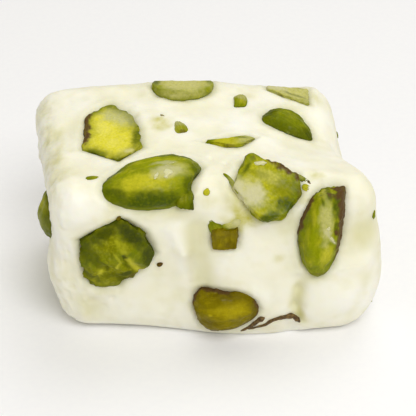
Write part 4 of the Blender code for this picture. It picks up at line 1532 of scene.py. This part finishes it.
def new_growth(name: str, given: dict[str, float | int | None]) -> tuple[bpy.types.NodeTree,
                                                                         bpy.types.NodeOutputs]:
    """Starts a geometry node tree.

    Args:
        name: the tree's name.
        given: its inputs by name, each a number, or None for geometry.

    Returns:
        The tree and the sockets of its inputs.
    """
    tree = bpy.data.node_groups.new(name, "GeometryNodeTree")
    kinds = {float: "NodeSocketFloat", int: "NodeSocketInt"}
    for label, value in given.items():
        kind = kinds.get(type(value), "NodeSocketGeometry")
        socket = tree.interface.new_socket(label, in_out="INPUT", socket_type=kind)
        if value is not None:
            socket.default_value = value
    tree.interface.new_socket("Piece", in_out="OUTPUT", socket_type="NodeSocketGeometry")
    return tree, add_node(tree, "NodeGroupInput").outputs


def end_growth(tree: bpy.types.NodeTree, geometry: bpy.types.NodeSocket,
               material: bpy.types.Material) -> None:
    """Ends a geometry node tree with real, smooth geometry that carries a finish."""
    for kind, inputs in (("GeometryNodeRealizeInstances", {}), ("GeometryNodeSetShadeSmooth", {}),
                         ("GeometryNodeSetMaterial", {"Material": material})):
        geometry = add_node(tree, kind, {"Geometry": geometry, **inputs}).outputs[0]
    add_node(tree, "NodeGroupOutput", {"Piece": geometry})


def grow(name: str, carrier: bpy.types.Object, tree: bpy.types.NodeTree) -> bpy.types.Object:
    """Runs a node tree on an object and keeps the result as a plain mesh that rides on the body.

    Args:
        name: the new piece's name.
        carrier: the object that the tree works on, in the scene. It is left as it was.
        tree: the geometry node tree.

    Returns:
        The piece.
    """
    modifier = carrier.modifiers.new(name, "NODES")
    modifier.node_group = tree
    for socket in tree.interface.items_tree:
        if socket.in_out == "INPUT" and hasattr(socket, "default_value"):
            modifier[socket.identifier] = socket.default_value
    graph = bpy.context.evaluated_depsgraph_get()
    mesh = bpy.data.meshes.new_from_object(carrier.evaluated_get(graph), depsgraph=graph)
    carrier.modifiers.remove(modifier)
    mesh.name = name
    piece = bpy.data.objects.new(name, mesh)
    bpy.context.scene.collection.objects.link(piece)
    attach(piece, BODY)
    return piece


@dataclass(frozen=True)
class PaperySkin:
    """A loose strand of a kernel's brown skin that lies on the nougat, made by Geometry Nodes along its path.

    Sizes are in millimetres.
    """

    paths: tuple = (
        ((4.3, -12.4), (5.3, -11.8), (6.4, -11.1), (7.4, -10.4), (8.3, -10.0)),
        ((5.6, -12.1), (7.3, -11.7), (8.5, -11.3), (9.5, -10.7), (10.7, -10.3), (11.9, -10.2), (13.3, -10.5),
         (14.1, -11.0), (14.7, -11.5)),
    )
    face: Face = Face.FRONT
    thickness: float = 0.56
    step: float = 0.12
    lift: float = 0.08  # how far its middle line lies over the nougat
    fray_size: float = 1.1
    sides: int = 10
    colour: str = "4E3A1E"
    worn: str = "7C6234"
    fibre_size: float = 0.5

    def material(self) -> bpy.types.Material:
        """The dry, brown, papery finish."""
        material, tree = new_material("pistachio_papery_skin")
        place = add_node(tree, "ShaderNodeTexCoord").outputs["Object"]
        fibre = add_node(tree, "ShaderNodeTexNoise",
                         {"Vector": place, "Scale": 1 / (self.fibre_size * MM), "Detail": 4.0}).outputs["Fac"]
        worn = add_node(tree, "ShaderNodeMapRange", {0: fibre, 1: 0.4, 2: 0.65}).outputs[0]
        bump = add_node(tree, "ShaderNodeBump", {"Height": fibre, "Strength": 0.6, "Distance": 0.1 * MM})
        dress(tree, {"Base Color": lay_coats(tree, self.colour, ((self.worn, worn),)),
                     "Normal": bump.outputs[0], "Roughness": 0.6, "Specular IOR Level": 0.3})
        return material

    def tree(self, material: bpy.types.Material) -> bpy.types.NodeTree:
        """The node tree that wraps a frayed skin round the path, thin at its start and at both tips.

        Args:
            material: the strand's finish.

        Returns:
            The tree.
        """
        tree, given = new_growth("papery_skin", {"Path": None, "Thickness": self.thickness * MM,
                                                 "Step": self.step * MM})
        curve = add_node(tree, "GeometryNodeMeshToCurve", {"Mesh": given["Path"]})
        rounded = add_node(tree, "GeometryNodeCurveSplineType", {"Curve": curve.outputs[0]},
                           spline_type="CATMULL_ROM")
        even = add_node(tree, "GeometryNodeResampleCurve",
                        {"Curve": rounded.outputs[0], "Length": given["Step"]}, mode="LENGTH")
        along = add_node(tree, "GeometryNodeSplineParameter").outputs["Factor"]
        fray = add_node(tree, "ShaderNodeTexNoise", {"Scale": 1 / (self.fray_size * MM), "Detail": 2.0})
        past = add_node(tree, "ShaderNodeMath", {0: along, 1: 0.5}, operation="SUBTRACT")
        from_middle = add_node(tree, "ShaderNodeMath", {0: past.outputs[0]}, operation="ABSOLUTE")
        scale = given["Thickness"]
        for row in ((fray.outputs["Fac"], 0.3, 0.7, 0.6, 1.2), (from_middle.outputs[0], 0.42, 0.5, 1.0, 0.3),
                    (along, 0.0, 0.8, 0.5, 1.3)):
            share = add_node(tree, "ShaderNodeMapRange", dict(enumerate(row)))
            scale = add_node(tree, "ShaderNodeMath", {0: scale, 1: share.outputs[0]},
                             operation="MULTIPLY").outputs[0]
        ring = add_node(tree, "GeometryNodeCurvePrimitiveCircle", {"Resolution": self.sides, "Radius": 0.6})
        tube = add_node(tree, "GeometryNodeCurveToMesh",
                        {"Curve": even.outputs[0], "Profile Curve": ring.outputs[0], "Scale": scale,
                         "Fill Caps": True})
        end_growth(tree, tube.outputs[0], material)
        return tree

    def build(self, block: Block, bar: BVHTree) -> bpy.types.Object:
        """Lays the strand on the nougat.

        Args:
            block: the bar's form.
            bar: the nougat's surface, in millimetres.

        Returns:
            The piece.
        """
        points, links = [], []
        for path in self.paths:
            first = len(points)
            over = block.face_points(self.face, np.array(path)).tolist()
            near = [bar.find_nearest(point) for point in over]
            points += [(place + normal * self.lift) * MM for place, normal, _, _ in near]
            links += [(i, i + 1) for i in range(first, len(points) - 1)]
        mesh = bpy.data.meshes.new("skin_path")
        mesh.from_pydata(points, links, [])
        carrier = bpy.data.objects.new("skin_path", mesh)
        bpy.context.scene.collection.objects.link(carrier)
        piece = grow("papery_skin_strand", carrier, self.tree(self.material()))
        bpy.data.objects.remove(carrier)
        return piece


@dataclass(frozen=True)
class CrumbScatter:
    """Pistachio crumbs pressed into the nougat, grown on its surface by Geometry Nodes."""

    spacing: float = 3.0  # closest two crumbs lie, in millimetres
    smallest: float = 0.14  # half sizes, in millimetres
    largest: float = 0.5
    seed: int = 7
    density: float = 90000.0  # tries to a square metre
    lump_size: float = 1.3  # swells of a crumb of radius one
    lump_height: float = 1.6
    slimmest: tuple[float, float, float] = (1.0, 0.6, 0.45)
    fullest: tuple[float, float, float] = (2.2, 1.0, 0.7)

    def crumb(self, tree: bpy.types.NodeTree) -> bpy.types.NodeSocket:
        """One lumpy crumb of radius one."""
        ball = add_node(tree, "GeometryNodeMeshIcoSphere", {"Radius": 1.0, "Subdivisions": 2})
        lumps = add_node(tree, "ShaderNodeTexNoise", {"Scale": self.lump_size, "Detail": 1.0})
        centred = add_node(tree, "ShaderNodeVectorMath", {0: lumps.outputs["Color"], 1: (0.5, 0.5, 0.5)},
                           operation="SUBTRACT")
        pushed = add_node(tree, "ShaderNodeVectorMath", {0: centred.outputs[0], "Scale": self.lump_height},
                          operation="SCALE")
        return add_node(tree, "GeometryNodeSetPosition",
                        {"Geometry": ball.outputs[0], "Offset": pushed.outputs[0]}).outputs[0]

    def tree(self, material: bpy.types.Material) -> bpy.types.NodeTree:
        """The node tree that strews crumbs over the nougat and turns each its own way.

        Args:
            material: the crumbs' finish.

        Returns:
            The tree.
        """
        tree, given = new_growth("nougat_crumbs", {
            "Nougat": None, "Spacing": self.spacing * MM, "Smallest": self.smallest * MM,
            "Largest": self.largest * MM, "Seed": self.seed,
        })
        room = add_node(tree, "GeometryNodeInputNamedAttribute", {"Name": "crumb_room"}, data_type="FLOAT")
        places = add_node(tree, "GeometryNodeDistributePointsOnFaces",
                          {"Mesh": given["Nougat"], "Distance Min": given["Spacing"],
                           "Density Max": self.density, "Density Factor": room.outputs[0],
                           "Seed": given["Seed"]}, distribute_method="POISSON").outputs
        size = add_node(tree, "FunctionNodeRandomValue",
                        {2: given["Smallest"], 3: given["Largest"], "Seed": given["Seed"]}, data_type="FLOAT")
        stretch = add_node(tree, "FunctionNodeRandomValue", {0: self.slimmest, 1: self.fullest, "Seed": 3},
                           data_type="FLOAT_VECTOR")
        scale = add_node(tree, "ShaderNodeVectorMath", {0: stretch.outputs[0], "Scale": size.outputs[1]},
                         operation="SCALE")
        spin = add_node(tree, "FunctionNodeRandomValue", {2: 0.0, 3: math.tau, "Seed": 5}, data_type="FLOAT")
        turn = add_node(tree, "ShaderNodeCombineXYZ", {"Z": spin.outputs[1]})
        lie = add_node(tree, "FunctionNodeRotateRotation",
                       {"Rotation": places["Rotation"], "Rotate By": turn.outputs[0]}, rotation_space="LOCAL")
        copies = add_node(tree, "GeometryNodeInstanceOnPoints",
                          {"Points": places["Points"], "Instance": self.crumb(tree),
                           "Rotation": lie.outputs[0], "Scale": scale.outputs[0]})
        end_growth(tree, copies.outputs[0], material)
        return tree

    def build(self, nougat: bpy.types.Object, material: bpy.types.Material) -> bpy.types.Object:
        """Grows the crumbs on the nougat and keeps them as a plain mesh.

        Args:
            nougat: the bar, whose crumb_room mark says where crumbs may lie.
            material: the crumbs' finish.

        Returns:
            The piece.
        """
        piece = grow("pistachio_crumbs", nougat, self.tree(material))
        return piece


# ---------------------------------------------------------------------------------------------------
# Studio
# ---------------------------------------------------------------------------------------------------


@dataclass(frozen=True)
class SoftLight:
    """A square soft box that shines at the middle of the bar."""

    name: str
    place: tuple[float, float, float]
    size: float
    power: float

    def build(self, target: Vector) -> None:
        """Hangs the light and turns it to the target."""
        lamp = bpy.data.lights.new(self.name, "AREA")
        lamp.size, lamp.energy = self.size, self.power
        holder = bpy.data.objects.new(self.name, lamp)
        holder.location = self.place
        holder.rotation_euler = (Vector(self.place) - target).to_track_quat("Z", "Y").to_euler()
        bpy.context.scene.collection.objects.link(holder)


@dataclass(frozen=True)
class Studio:
    """The pale table, the soft light and the camera. Lengths are in metres."""

    azimuth: float = -5.5
    elevation: float = 35.0
    distance: float = 0.24
    half_view: float = 0.034  # half the width of the view at the bar
    sensor: float = 36.0  # in millimetres
    sight: tuple[float, float] = (0.01, 50.0)  # the nearest and the farthest that the camera sees
    target: tuple[float, float, float] = (0.0, 0.0, 0.015)
    table_size: float = 6.0
    paper: str = "FBFBFF"
    paper_shade: str = "F9F9FE"
    paper_scale: float = 900.0  # swells of its tooth to a metre
    sky: float = 0.45
    sky_colour: tuple[float, float, float, float] = (1.0, 0.97, 0.84, 1.0)
    lights: tuple[SoftLight, ...] = (
        SoftLight("key_box", (0.09, -0.36, 0.50), 0.30, 1.8),
        SoftLight("top_box", (0.14, 0.22, 0.58), 0.40, 1.05),
    )

    def build(self) -> None:
        """Sets the stage."""
        scene = bpy.context.scene
        target = Vector(self.target)
        self.camera(scene, target)
        for light in self.lights:
            light.build(target)
        world = bpy.data.worlds.new("studio_air")
        world.use_nodes = True
        sky = world.node_tree.nodes["Background"]
        sky.inputs["Color"].default_value = self.sky_colour
        sky.inputs["Strength"].default_value = self.sky
        scene.world = world
        scene.view_settings.view_transform = "Standard"
        self.table()

    def camera(self, scene: bpy.types.Scene, target: Vector) -> None:
        """Stands the camera on its sight line and frames the bar."""
        around, up = math.radians(self.azimuth), math.radians(self.elevation)
        away = Vector((math.sin(around) * math.cos(up), -math.cos(around) * math.cos(up), math.sin(up)))
        lens = bpy.data.cameras.new("studio_camera")
        lens.sensor_width = self.sensor
        lens.lens = self.sensor / 2 * self.distance / self.half_view
        lens.clip_start, lens.clip_end = self.sight
        camera = bpy.data.objects.new("studio_camera", lens)
        camera.location = target + away * self.distance
        camera.rotation_euler = away.to_track_quat("Z", "Y").to_euler()
        scene.collection.objects.link(camera)
        scene.camera = camera

    def table(self) -> None:
        """Lays the table top, of matt white paper, that the bar stands on."""
        material, tree = new_material("table_paper")
        place = add_node(tree, "ShaderNodeTexCoord").outputs["Object"]
        tooth = add_node(tree, "ShaderNodeTexNoise",
                         {"Vector": place, "Scale": self.paper_scale, "Detail": 2.0}).outputs["Fac"]
        tone = add_node(tree, "ShaderNodeMapRange", {0: tooth, 1: 0.3, 2: 0.7}).outputs[0]
        dress(tree, {"Base Color": lay_coats(tree, self.paper, ((self.paper_shade, tone),)),
                     "Roughness": 0.9, "Specular IOR Level": 0.1})
        half = self.table_size / 2
        corners = [(-half, -half, 0), (half, -half, 0), (half, half, 0), (-half, half, 0)]
        mesh = bpy.data.meshes.new("table_top")
        mesh.from_pydata(corners, [], [(0, 1, 2, 3)])
        mesh.materials.append(material)
        table = bpy.data.objects.new("table_top", mesh)
        bpy.context.scene.collection.objects.link(table)


# ---------------------------------------------------------------------------------------------------
# Assembly
# ---------------------------------------------------------------------------------------------------


def main() -> None:
    """Builds the pieces in order and reports each."""
    logging.basicConfig(level=logging.INFO, format="%(name)s: %(message)s")
    block = Block()
    forms = [KernelForm(kernel, block) for kernel in KERNELS]
    finishes = {nut: nut.value.make() for nut in Nut}
    cream = NougatFinish().make()
    nougat, bar = NougatPiece(block, forms).build(cream)
    pieces = [nougat]
    pieces += [KernelPiece(form, finishes).build(bar) for form in forms]
    pieces += Slivers().build(block, finishes, bar)
    pieces.append(Scrapings().build(forms, cream))
    pieces.append(PaperySkin().build(block, bar))
    pieces.append(CrumbScatter().build(nougat, finishes[Nut.GREEN]))
    for piece in pieces:
        LOG.info("%s: %d faces", piece.name, len(piece.data.polygons))
    Studio().build()
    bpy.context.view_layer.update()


if __name__ == "__main__":
    main()
